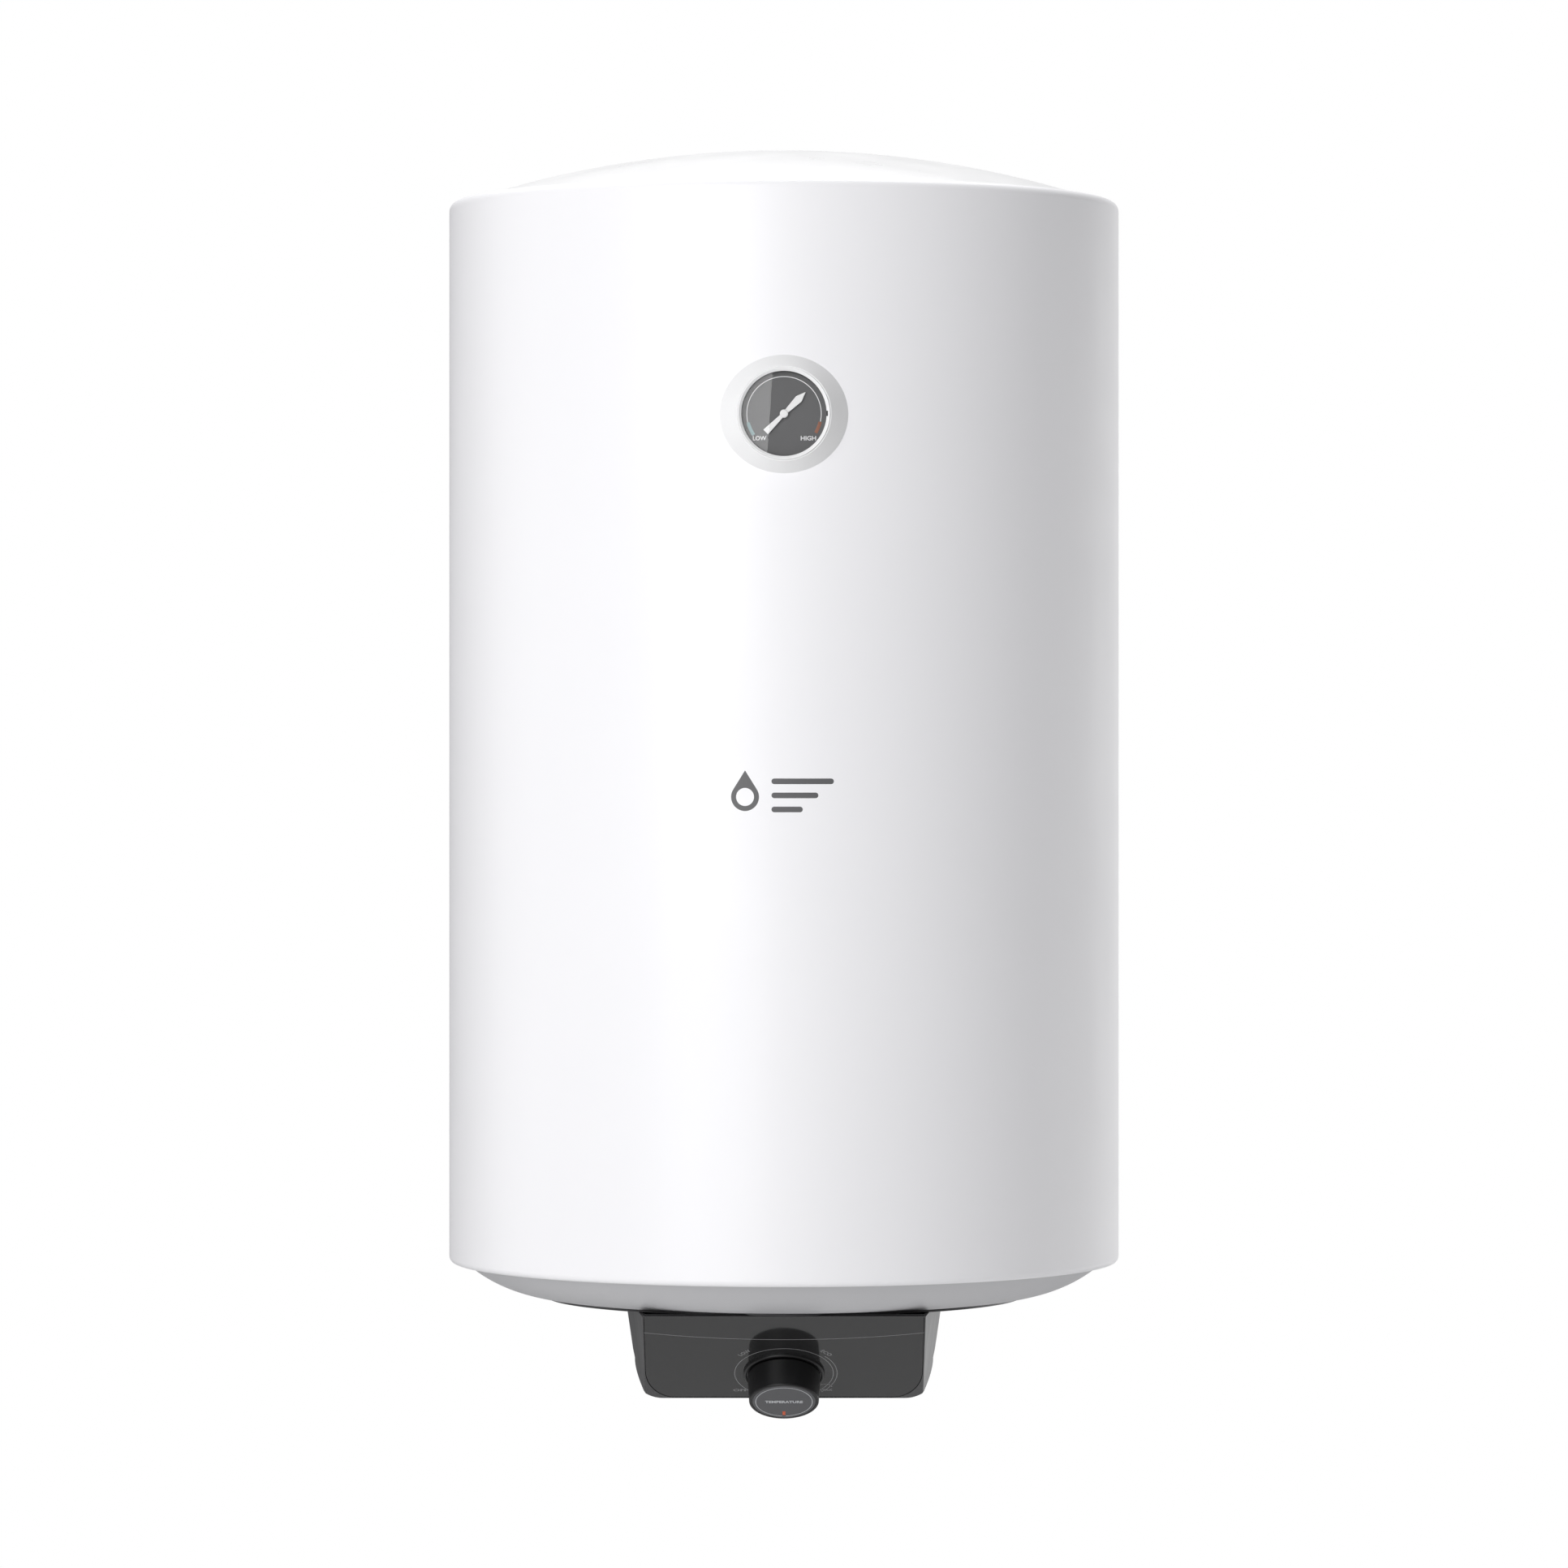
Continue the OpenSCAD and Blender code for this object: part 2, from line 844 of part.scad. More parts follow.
module hairpin() {
    bend_r = hairpin_w / 2;
    leg = element_len - bend_r + flange_t + terminal_drop;
    for (end = [-1, 1]) {
        translate([0, end * bend_r, 0]) cylinder(r = element_d / 2, h = leg);
    }
    translate([0, 0, leg])
        rotate([90, 0, 90])
            rotate_extrude(angle = 180)
                translate([bend_r, 0])
                    circle(r = element_d / 2);
}

module heating_element() {
    color("peru")
    for (side = [-1, 1]) {
        on_axis(plate_bottom - terminal_drop)
            translate([side * element_spacing / 2, 0, 0])
                hairpin();
    }
}

// Strap that joins the front ends of the two hairpins
module element_link() {
    strap_w = 6;
    strap_t = 1;
    color("gold")
    on_axis(plate_bottom - terminal_drop - strap_t)
        translate([-element_spacing / 2 - strap_w / 2, -hairpin_w / 2 - strap_w / 2, 0])
            cube([element_spacing + strap_w, strap_w, strap_t]);
}

module anode_rod() {
    color("lightgray")
    on_axis(plate_bottom)
        translate([0, anode_place, 0]) {
            translate([0, 0, -nut_h - stud_end])
                cylinder(r = anode_stud_r, h = flange_t + nut_h + stud_end);
            translate([0, 0, flange_t])
                cylinder(r = anode_d / 2, h = anode_len);
        }
}

module anode_nut() {
    color("silver")
    on_axis(plate_bottom - nut_h)
        translate([0, anode_place, 0])
            difference() {
                cylinder(r = anode_nut_r, h = nut_h, $fn = 6);
                translate([0, 0, -cut]) cylinder(r = anode_stud_r, h = nut_h + 2 * cut);
            }
}

module sensor_pocket() {
    wall = 1;
    end_r = pocket_d / 2;
    color("peru")
    on_axis(plate_bottom)
        translate([0, pocket_place, 0])
            difference() {
                union() {
                    cylinder(r = end_r, h = pocket_len);
                    translate([0, 0, pocket_len]) sphere(r = end_r);
                }
                translate([0, 0, -cut]) cylinder(r = end_r - wall, h = pocket_len + cut);
            }
}

module thermostat_bulb() {
    color("chocolate")
    on_axis(plate_bottom + bulb_place)
        translate([0, pocket_place, 0])
            cylinder(r = bulb_r, h = pocket_bulb_len);
}

module thermostat_capillary() {
    color("chocolate")
    on_axis()
        run([
            [0, pocket_place, plate_bottom + bulb_place],
            [0, pocket_place, plate_bottom - capillary_drop],
            panel_point(0, knob_place, thermostat_back + wire_lead),
            panel_point(0, knob_place, thermostat_back)
        ], capillary_r);
}

// ---- Water pipes ----

module water_pipe(side, top) {
    translate([side * pipe_x, axis_y + pipe_back, pipe_bottom]) {
        tube(thread_d / 2, pipe_r - pipe_t, thread_len);
        translate([0, 0, thread_len])
            tube(pipe_r, pipe_r - pipe_t, top - pipe_bottom - thread_len);
    }
}

module cold_inlet_pipe() {
    color("silver") water_pipe(1, pipe_entry + inlet_reach);
}

module hot_outlet_pipe() {
    color("silver") water_pipe(-1, tank_top - outlet_gap);
}

// Slotted cap that spreads the cold water along the tank's floor
module inlet_diffuser() {
    cap_r = pipe_r + 4;
    grip = 12;
    cap_h = 2 * grip;
    wall = 2;
    slot = 4;
    color("ivory")
    difference() {
        translate([pipe_x, axis_y + pipe_back, pipe_entry + inlet_reach - grip])
            difference() {
                cylinder(r = cap_r, h = cap_h);
                translate([0, 0, -cut]) cylinder(r = pipe_r, h = grip + cut);
                cylinder(r = pipe_r - wall, h = cap_h - wall);
            }
        for (turn = [0, 60, 120]) {
            translate([pipe_x, axis_y + pipe_back, pipe_entry + inlet_reach + slot])
                rotate(turn)
                    translate([-cap_r - cut, -slot / 2, 0])
                        cube([2 * (cap_r + cut), slot, slot]);
        }
    }
}

module pipe_collar(side) {
    brim_t = 1.6;
    translate([side * pipe_x, axis_y + pipe_back, disc_bottom - brim_t])
        difference() {
            union() {
                cylinder(r = collar_hole_r + 3, h = brim_t);
                cylinder(r = collar_hole_r, h = brim_t + disc_t + cap_t);
            }
            translate([0, 0, -cut])
                cylinder(r = pipe_r + collar_clear, h = brim_t + disc_t + cap_t + 2 * cut);
        }
}

module cold_collar() {
    color("royalblue") pipe_collar(1);
}

module hot_collar() {
    color("firebrick") pipe_collar(-1);
}

// ---- Control box ----

// Outline of the box's sides in height and depth, drawn down from the disc
module side_outline(inset) {
    floor_z = panel_foot_z + inset;
    back = cover_back - inset;
    edge_r = max(cover_edge_r - inset, 1);
    slope = inset == 0 ? 0 : thermostat_top / sin(panel_tilt);
    foot = (disc_bottom - floor_z) / tan(panel_tilt);
    polygon([
        [-disc_r + slope, disc_bottom],
        [-disc_r + slope + foot, floor_z],
        [back - edge_r, floor_z],
        [back, floor_z + edge_r],
        [back, disc_bottom]
    ]);
    translate([back - edge_r, floor_z + edge_r]) circle(r = edge_r);
}

// Outline seen from the front: sides drawn in towards the floor, round lower corners
module front_outline(inset) {
    floor_z = panel_foot_z + inset;
    top_half = cover_w / 2 - inset + cut * tan(cover_flare);
    half = cover_w / 2 - inset - (disc_bottom - floor_z) * tan(cover_flare);
    corner = panel_corner_r - inset;
    // The corner's circle touches the drawn-in side and the floor
    corner_x = half - corner * tan(45 - cover_flare / 2);
    hull() {
        for (side = [-1, 1]) {
            translate([side * corner_x, floor_z + corner]) circle(r = corner, $fn = 32);
        }
        translate([-top_half, disc_bottom]) square([2 * top_half, cut]);
    }
}

// Outline seen from above: straight sides clear of the flare, and round back corners
module plan_outline(inset) {
    half = cover_w / 2 + cut - inset;
    back = cover_back - inset;
    corner = cover_corner_r - inset;
    hull() {
        for (side = [-1, 1]) {
            translate([side * (half - corner), back - corner]) circle(r = corner, $fn = 48);
        }
        translate([-half, -disc_r - cut]) square([2 * half, cut]);
    }
}

// The box's block, shrunk by an inset on its sides, back and floor
module cover_block(inset) {
    reach = 2 * disc_r;
    flare = reach * tan(cover_flare);
    lead = cut * tan(cover_flare);
    front_half = panel_half - inset;
    intersection() {
        on_axis()
            rotate([90, 0, 90])
                translate([0, 0, -disc_r])
                    linear_extrude(height = 2 * disc_r) side_outline(inset);
        on_axis()
            translate([0, disc_r, 0])
                rotate([90, 0, 0])
                    linear_extrude(height = 2 * disc_r) front_outline(inset);
        on_axis(panel_foot_z - cut)
            linear_extrude(height = disc_bottom - panel_foot_z + 2 * cut) plan_outline(inset);
        // Side walls flare outwards from the panel's two edges
        on_panel()
            translate([0, reach, 0])
                rotate([90, 0, 0])
                    linear_extrude(height = 2 * reach)
                        polygon([
                            [-front_half + lead, -cut], [front_half - lead, -cut],
                            [front_half + flare, reach], [-front_half - flare, reach]
                        ]);
    }
}

// Slab along the slope, cut to the panel's outline as it is seen from the front
module panel_slab(inset, from, to) {
    corner = panel_corner_r - inset;
    half = panel_half - inset;
    foot = panel_foot_z + inset * sin(panel_tilt);
    head = disc_bottom - inset * sin(panel_tilt);
    intersection() {
        on_panel()
            translate([-disc_r, -disc_r, from])
                cube([2 * disc_r, 3 * disc_r, to - from]);
        on_axis()
            translate([0, disc_r, 0])
                rotate([90, 0, 0])
                    linear_extrude(height = 2 * disc_r) {
                        translate([-half, foot + corner])
                            square([2 * half, head - foot - corner]);
                        translate([-half + corner, foot])
                            square([2 * (half - corner), head - foot]);
                        for (side = [-1, 1]) {
                            translate([side * (half - corner), foot + corner])
                                circle(r = corner);
                        }
                    }
    }
}

// Countersunk screws that hold the thermostat behind the panel, grown by a gap
module thermostat_screw_shapes(gap) {
    head = 1.8;
    for (side = [-1, 1]) {
        on_panel(knob_place)
            translate([side * thermostat_screw_x, 0, panel_seat]) {
                cylinder(r1 = 2 * screw_r, r2 = screw_r + gap, h = head);
                cylinder(r = screw_r + gap, h = cover_t + thermostat_screw_grip);
            }
    }
}

module control_cover() {
    color([0.23, 0.23, 0.24])
    difference() {
        cover_block(0);
        cover_block(cover_t);
        // Seat of the glossy panel
        panel_slab(border, -cut, panel_seat);
        on_knob()
            translate([0, 0, -thermostat_top - cut])
                cylinder(r = bush_r + pass_gap, h = thermostat_top + 2 * cut);
        thermostat_screw_shapes(0);
        at_posts()
            translate([0, 0, panel_foot_z - cut])
                cylinder(r = screw_r + screw_gap, h = cover_t + 2 * cut);
        translate([0, axis_y + cover_back + cut, gland_z])
            rotate([90, 0, 0])
                cylinder(r = gland_r, h = cover_t + 2 * cut);
    }
}

module control_panel() {
    color([0.27, 0.27, 0.28])
    difference() {
        panel_slab(border, border_step, panel_seat);
        on_knob()
            translate([0, 0, -panel_seat - cut])
                cylinder(r = bush_r + pass_gap, h = panel_seat + 2 * cut);
    }
}

module cover_screws() {
    color("silver") {
        at_screws() translate([0, 0, disc_bottom]) screw();
        at_posts() translate([0, 0, panel_foot_z]) screw();
    }
}

// Pan-head screw, pointing up, its head under the origin
module screw() {
    recess = 4.8;
    recess_w = 0.8;
    cylinder(r = screw_r, h = screw_len);
    difference() {
        translate([0, 0, -screw_head_h]) cylinder(r = screw_head_r, h = screw_head_h);
        for (turn = [0, 90]) {
            rotate(turn)
                translate([-recess / 2, -recess_w / 2, -screw_head_h - cut])
                    cube([recess, recess_w, cut + screw_head_h / 2]);
        }
    }
}

module knob_trim_ring() {
    color([0.4, 0.4, 0.42])
    on_knob()
        translate([0, 0, -border_step])
            tube(trim_d / 2, trim_hole_r, trim_h + border_step);
}

// ---- Knob, drawn outwards from the panel ----

module knob() {
    hub_r = spindle_r + knob_hub_t;
    face = knob_h - knob_disc_t;
    color([0.2, 0.2, 0.21])
    on_knob()
        difference() {
            union() {
                difference() {
                    translate([0, 0, knob_base])
                        cylinder(r1 = knob_d / 2, r2 = knob_face_d / 2, h = knob_h - knob_base);
                    translate([0, 0, knob_base - cut])
                        cylinder(r = knob_face_d / 2 - knob_t, h = face - knob_t - knob_base + cut);
                }
                translate([0, 0, knob_base])
                    cylinder(r = hub_r, h = face - knob_base);
            }
            translate([0, 0, knob_base - cut])
                cylinder(r = spindle_r, h = spindle_end - knob_base + cut);
            translate([0, 0, face])
                cylinder(r = knob_disc_r, h = knob_disc_t + cut);
        }
}

module knob_face() {
    color([0.35, 0.35, 0.36])
    on_knob()
        difference() {
            translate([0, 0, knob_h - knob_disc_t])
                cylinder(r = knob_disc_r, h = knob_disc_t);
            mark_shape(cut);
        }
}

// Small inlaid bar on the knob's face, at its foot
module mark_shape(over = 0) {
    translate([-mark_w / 2, mark_place, knob_h - knob_disc_t])
        cube([mark_w, mark_len, knob_disc_t + over]);
}

module knob_mark() {
    color("orangered") on_knob() mark_shape();
}

module thermostat() {
    color([0.85, 0.83, 0.76])
    difference() {
        on_panel(knob_place) {
            translate([-thermostat_w / 2, -thermostat_len / 2, thermostat_top])
                cube([thermostat_w, thermostat_len, thermostat_h]);
            translate([0, 0, -bush_out])
                cylinder(r = bush_r, h = thermostat_top + bush_out);
        }
        on_panel(knob_place)
            translate([0, 0, -bush_out - cut])
                cylinder(r = spindle_r + running_gap, h = thermostat_top + spindle_depth + bush_out + 2 * cut);
        thermostat_screw_shapes(0);
    }
}

module thermostat_spindle() {
    color("silver")
    on_knob()
        translate([0, 0, -thermostat_top - spindle_depth])
            cylinder(r = spindle_r, h = spindle_end + thermostat_top + spindle_depth);
}

module thermostat_screws() {
    color("silver") thermostat_screw_shapes(0);
}

// ---- Parts in the control box ----

module safety_cutout() {
    lug_reach = cutout_r + cutout_lug_out;
    color("saddlebrown")
    on_axis(plate_bottom - cutout_h)
        difference() {
            union() {
                cylinder(r = cutout_r, h = cutout_h);
                translate([-lug_reach, 0, (cutout_h - cutout_lug_t) / 2])
                    cube([2 * lug_reach, cutout_lug_w, cutout_lug_t]);
            }
            translate([0, 0, -cut]) cylinder(r = reset_r + pass_gap / 2, h = reset_depth + cut);
        }
}

module reset_button() {
    color("red")
    on_axis(plate_bottom - cutout_h - reset_out)
        cylinder(r = reset_r, h = reset_out + reset_depth - reset_travel - pass_gap);
}

module terminal_bracket() {
    strip_t = 1.5;
    foot_len = 16;
    strip_w = pole_pitch - 2 * pole_r;
    strip_y = block_y + (pole_pitch - strip_w) / 2;
    color("silver")
    on_axis() {
        translate([block_x - block_w / 2 - foot_len, strip_y, plate_bottom - strip_t])
            cube([foot_len, strip_w, strip_t]);
        translate([block_x - block_w / 2 - strip_t, strip_y, block_bottom])
            cube([strip_t, strip_w, plate_bottom - block_bottom]);
    }
}

module at_poles() {
    for (i = [-1, 0, 1]) {
        on_axis(block_bottom)
            translate([block_x, block_y + i * pole_pitch, 0])
                children();
    }
}

module terminal_block() {
    color("ivory")
    difference() {
        on_axis()
            translate([block_x - block_w / 2, block_y - block_len / 2, block_bottom])
                cube([block_w, block_len, block_h]);
        at_poles()
            translate([0, 0, -cut])
                cylinder(r = pole_r, h = pole_depth + cut);
    }
}

module terminal_screws() {
    color("gold")
    at_poles()
        translate([0, 0, pole_sink])
            cylinder(r = pole_r, h = pole_depth - pole_sink);
}

module live_wires() {
    color("sienna")
    on_axis() {
        // Supply to the cut-out
        run([
            [block_x, block_y + pole_pitch, block_bottom + block_h],
            [block_x, block_y + pole_pitch, wire_level],
            [-cutout_wire_x, block_y + pole_pitch, wire_level],
            [-cutout_wire_x, cutout_wire_y, wire_level],
            [-cutout_wire_x, cutout_wire_y, cutout_terminal_z]
        ], wire_r);
        // Cut-out to the thermostat
        run([
            [cutout_wire_x, cutout_wire_y, cutout_terminal_z],
            [cutout_wire_x, cutout_wire_y, wire_level],
            panel_point(wire_side, knob_place, thermostat_back + wire_lead),
            panel_point(wire_side, knob_place, thermostat_back)
        ], wire_r);
        // Thermostat to the heating element
        run([
            panel_point(-wire_side, knob_place, thermostat_back),
            panel_point(-wire_side, knob_place, thermostat_back + wire_lead),
            [-element_spacing / 2 - element_wire_x, element_wire_y, wire_level],
            [-element_spacing / 2 - element_wire_x, hairpin_w / 2, wire_level],
            [-element_spacing / 2, hairpin_w / 2, wire_level],
            [-element_spacing / 2, hairpin_w / 2, plate_bottom - terminal_drop]
        ], wire_r);
    }
}

module neutral_wire() {
    color("dodgerblue")
    on_axis()
        run([
            [block_x, block_y, block_bottom + block_h],
            [block_x, block_y, wire_level + wire_step],
            [element_spacing / 2, hairpin_w / 2, wire_level + wire_step],
            [element_spacing / 2, hairpin_w / 2, plate_bottom - terminal_drop]
        ], wire_r);
}

module earth_wire() {
    color("yellowgreen")
    on_axis()
        run([
            [block_x, block_y - pole_pitch, block_bottom + block_h],
            [block_x, block_y - pole_pitch, wire_level + wire_step],
            [earth_x, earth_y, wire_level + wire_step],
            [earth_x, earth_y, plate_bottom - earth_len]
        ], wire_r);
}

module earth_screw() {
    head_t = 3;
    color("gold")
    on_axis(plate_bottom - earth_len)
        translate([earth_x, earth_y, 0]) {
            cylinder(r = earth_r, h = earth_len);
            translate([0, 0, earth_r]) cylinder(r = 2 * earth_r, h = head_t, $fn = 6);
        }
}

module cord_gland() {
    inside = 10;
    hex_h = gland_out * 0.55;
    color([0.15, 0.15, 0.16])
    translate([0, axis_y + cover_back, gland_z])
        rotate([-90, 0, 0])
            difference() {
                union() {
                    cylinder(r = gland_head_r, h = hex_h, $fn = 6);
                    cylinder(r = gland_neck_r, h = gland_out);
                    translate([0, 0, -inside]) cylinder(r = gland_r, h = inside + cut);
                }
                translate([0, 0, -inside - cut])
                    cylinder(r = gland_bore / 2, h = inside + gland_out + 2 * cut);
            }
}

module gland_nut() {
    color([0.15, 0.15, 0.16])
    translate([0, axis_y + cover_back - cover_t, gland_z])
        rotate([90, 0, 0])
            difference() {
                cylinder(r = gland_nut_r, h = gland_nut_t, $fn = 6);
                translate([0, 0, -cut]) cylinder(r = gland_r, h = gland_nut_t + 2 * cut);
            }
}

// ---- Thermometer, drawn outwards from the casing's front ----

module gauge_collar() {
    ring_gap = 0.1;
    brow_w = 0.9;
    brow = bezel_out - 1;
    wall = 2.4;
    foot_r = bezel_r + brow_w + (brow - collar_back) * tan(collar_slope);
    color("white")
    difference() {
        on_gauge()
            rotate_extrude()
                polygon([
                    [bezel_r + ring_gap, brow],
                    [bezel_r + brow_w, brow],
                    [foot_r, collar_back],
                    [foot_r - wall, collar_back],
                    [bezel_r + ring_gap, brow - 3]
                ]);
        on_axis(gauge_z - 2 * foot_r) cylinder(r = casing_r, h = 4 * foot_r, $fn = 720);
    }
}

module gauge_case() {
    color("dimgray")
    on_gauge()
        difference() {
            translate([0, 0, -case_depth])
                cylinder(r = case_r, h = case_depth + lens_back);
            translate([0, 0, -case_depth + case_t])
                cylinder(r = case_r - case_t, h = case_depth + lens_back);
        }
}

module gauge_bezel() {
    color("white")
    on_gauge() {
        translate([0, 0, bezel_out - bezel_t])
            tube(bezel_r, dial_view_r, bezel_t);
        translate([0, 0, bezel_out - bezel_t - bezel_skirt])
            tube(bezel_r, case_r + 0.1, bezel_skirt);
    }
}

module gauge_lens() {
    color([0.8, 0.9, 0.95, 0.3])
    on_gauge()
        translate([0, 0, lens_back])
            cylinder(r = case_r, h = lens_t);
}

module gauge_dial() {
    color("gray")
    on_gauge()
        translate([0, 0, dial_back])
            tube(case_r - case_t, arbor_r + running_gap, dial_t);
}

module gauge_needle() {
    color("white")
    on_gauge()
        rotate(-needle_angle)
            translate([0, 0, needle_back])
                difference() {
                    union() {
                        linear_extrude(height = needle_t)
                            polygon([
                                [-needle_neck, 0], [-needle_half, needle_wide], [0, needle_tip],
                                [needle_half, needle_wide], [needle_neck, 0],
                                [tail_half, -needle_tail], [-tail_half, -needle_tail]
                            ]);
                        cylinder(r = needle_hub_r, h = 3 * needle_t);
                    }
                    translate([0, 0, -cut])
                        cylinder(r = arbor_r, h = needle_t + cut);
                }
}

module gauge_arbor() {
    color("gold")
    on_gauge()
        translate([0, 0, dial_back - arbor_depth])
            cylinder(r = arbor_r, h = needle_back + needle_t - dial_back + arbor_depth);
}

module gauge_movement() {
    color("goldenrod")
    on_gauge()
        difference() {
            translate([0, 0, dial_back - movement_h])
                cylinder(r = movement_r, h = movement_h);
            translate([0, 0, dial_back - arbor_depth - cut])
                cylinder(r = arbor_r + running_gap, h = arbor_depth + 2 * cut);
        }
}

// Fine tube from the thermometer's movement to its bulb, through the foam
module gauge_capillary_shape(r) {
    run([
        [0, gauge_front + case_depth, gauge_z - capillary_out],
        [0, capillary_y, gauge_z - capillary_out],
        [0, capillary_y, capillary_turn],
        [bulb_x, bulb_y, capillary_turn],
        [bulb_x, bulb_y, gauge_z - bulb_drop]
    ], r);
}

module gauge_capillary() {
    color("chocolate")
    difference() {
        gauge_capillary_shape(capillary_r);
        gauge_bulb_shape();
    }
}

module gauge_bulb_shape(gap = 0) {
    translate([bulb_x, bulb_y, gauge_z - bulb_drop - bulb_len - gap])
        cylinder(r = bulb_r + gap, h = bulb_len + 2 * gap);
}

module gauge_bulb() {
    color("chocolate") gauge_bulb_shape();
}

casing();
top_cap();
bottom_cap();
base_disc();
cover_posts();
insulation();
tank_barrel();
tank_top_head();
tank_bottom_head();
bracket_pads();
upper_wall_bracket();
lower_wall_bracket();
flange_neck();
flange_studs();
flange_gasket();
flange_plate();
flange_nuts();
heating_element();
element_link();
anode_rod();
anode_nut();
sensor_pocket();
thermostat_bulb();
thermostat_capillary();
cold_inlet_pipe();
inlet_diffuser();
hot_outlet_pipe();
cold_collar();
hot_collar();
control_cover();
control_panel();
cover_screws();
knob_trim_ring();
knob();
knob_face();
knob_mark();
thermostat();
thermostat_spindle();
thermostat_screws();
safety_cutout();
reset_button();
terminal_bracket();
terminal_block();
terminal_screws();
live_wires();
neutral_wire();
earth_wire();
earth_screw();
cord_gland();
gland_nut();
gauge_collar();
gauge_case();
gauge_bezel();
gauge_lens();
gauge_dial();
gauge_needle();
gauge_arbor();
gauge_movement();
gauge_capillary();
gauge_bulb();
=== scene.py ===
"""Looks of the wall-hung water heater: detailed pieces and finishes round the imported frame."""

import json
import math

import bmesh
import bpy
from mathutils import Matrix, Vector


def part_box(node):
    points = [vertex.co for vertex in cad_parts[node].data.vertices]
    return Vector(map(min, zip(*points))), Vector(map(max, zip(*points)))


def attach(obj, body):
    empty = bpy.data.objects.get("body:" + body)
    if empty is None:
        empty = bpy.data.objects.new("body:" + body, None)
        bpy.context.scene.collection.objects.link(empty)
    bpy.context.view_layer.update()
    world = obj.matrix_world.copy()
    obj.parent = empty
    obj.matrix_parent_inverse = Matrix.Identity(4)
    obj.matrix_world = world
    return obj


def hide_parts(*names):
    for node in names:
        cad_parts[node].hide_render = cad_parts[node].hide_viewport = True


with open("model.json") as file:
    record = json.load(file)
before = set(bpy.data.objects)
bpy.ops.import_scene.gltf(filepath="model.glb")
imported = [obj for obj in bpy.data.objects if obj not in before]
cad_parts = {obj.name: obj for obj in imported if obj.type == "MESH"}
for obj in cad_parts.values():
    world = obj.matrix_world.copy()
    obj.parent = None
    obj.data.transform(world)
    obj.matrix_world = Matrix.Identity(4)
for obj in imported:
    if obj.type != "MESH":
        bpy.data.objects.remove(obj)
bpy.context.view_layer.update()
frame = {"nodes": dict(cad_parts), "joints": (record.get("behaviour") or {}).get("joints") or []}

MM = 0.001

# Height of the floor, in metres
FLOOR_Z = -1.9


# ---- Sizes, in millimetres, from the frame ----

def node_box(name):
    """Lowest and highest corner of a node in millimetres."""
    low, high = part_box(name)
    return low / MM, high / MM


casing_low, casing_high = node_box("casing")
disc_low, disc_high = node_box("base_disc")
dome_high = node_box("top_cap")[1]
cover_low, cover_high = node_box("control_cover")
panel_low, panel_high = node_box("control_panel")
bezel_low, bezel_high = node_box("gauge_bezel")
joints = {joint["name"]: joint for joint in frame["joints"]}

CASING_R = (casing_high.x - casing_low.x) / 2
AXIS_Y = (casing_high.y + casing_low.y) / 2
RIM_TOP = casing_high.z
RIM_BOTTOM = casing_low.z
SHEET = 0.8
TOP_RIM_R = 6.4
BOTTOM_RIM_R = 4
TOP_LIP_R = CASING_R - 11.4
BOTTOM_LIP_R = CASING_R - 10.5
MARK_Z = RIM_TOP - 394
PRINT_T = 0.03
SQUARE_EDGE = 0.0001

CAP_T = 2.5
FIT = 0.2
DOME_R = TOP_LIP_R - 2.6
DOME_H = dome_high.z - RIM_TOP
DOME_SPHERE_R = (DOME_R ** 2 + DOME_H ** 2) / (2 * DOME_H)
DOME_CENTRE = RIM_TOP + DOME_H - DOME_SPHERE_R

DISC_R = (disc_high.x - disc_low.x) / 2
DISC_BOTTOM = disc_low.z
DISC_TOP = disc_high.z
DISC_EDGE = 1.6
DISC_STEP_R = DISC_R - 10
DISH_FLAT_R = DISC_R - 6
DISH_FLAT = DISC_BOTTOM + DISC_EDGE
DISH_RUN = BOTTOM_LIP_R - 2 * FIT - DISH_FLAT_R
DISH_DROP = RIM_BOTTOM - DISH_FLAT
DISH_ARC_R = (DISH_RUN ** 2 + DISH_DROP ** 2) / (2 * DISH_DROP)
DISH_CENTRE = DISH_FLAT + DISH_ARC_R

knob_axis = Vector(joints["knob_turn"]["axis"])
TILT = math.atan2(knob_axis.y, knob_axis.z)
KNOB_AT = Vector(joints["knob_turn"]["pos_m"]) / MM
KNOB_PLACE = (DISC_BOTTOM - KNOB_AT.z) / math.sin(TILT)

COVER_T = 2.5
COVER_FLARE = math.tan(math.radians(9))
COVER_HALF = (cover_high.x - cover_low.x) / 2
COVER_FOOT = DISC_BOTTOM - cover_low.z
COVER_BACK = cover_high.y - AXIS_Y
COVER_EDGE_R = 16
COVER_PLAN_R = 40
BORDER = 0.7
BORDER_STEP = 0.3
PANEL_T = 2.2
PANEL_CORNER_R = 20
PANEL_HALF = (panel_high.x - panel_low.x) / 2 + BORDER

GAUGE_Z = (bezel_high.z + bezel_low.z) / 2
GAUGE_FRONT = casing_low.y
BEZEL_R = (bezel_high.x - bezel_low.x) / 2
BEZEL_OUT = GAUGE_FRONT - bezel_low.y
DIAL_R = BEZEL_R - 2.4
dial_low = node_box("gauge_dial")[0]
needle_high = node_box("gauge_needle")[1]
DIAL_FACE = GAUGE_FRONT - dial_low.y
NEEDLE_BACK = GAUGE_FRONT - needle_high.y

pipe_low, pipe_high = node_box("cold_inlet_pipe")
PIPE_R = (pipe_high.x - pipe_low.x) / 2
PIPE_X = (pipe_high.x + pipe_low.x) / 2
PIPE_Y = (pipe_high.y + pipe_low.y) / 2
PIPE_BOTTOM = pipe_low.z
THREAD_LEN = 15
COLLAR_R = PIPE_R + 7

LEG_X = 88
BRACKET_T = 3
WALL_SLOT_X = 110

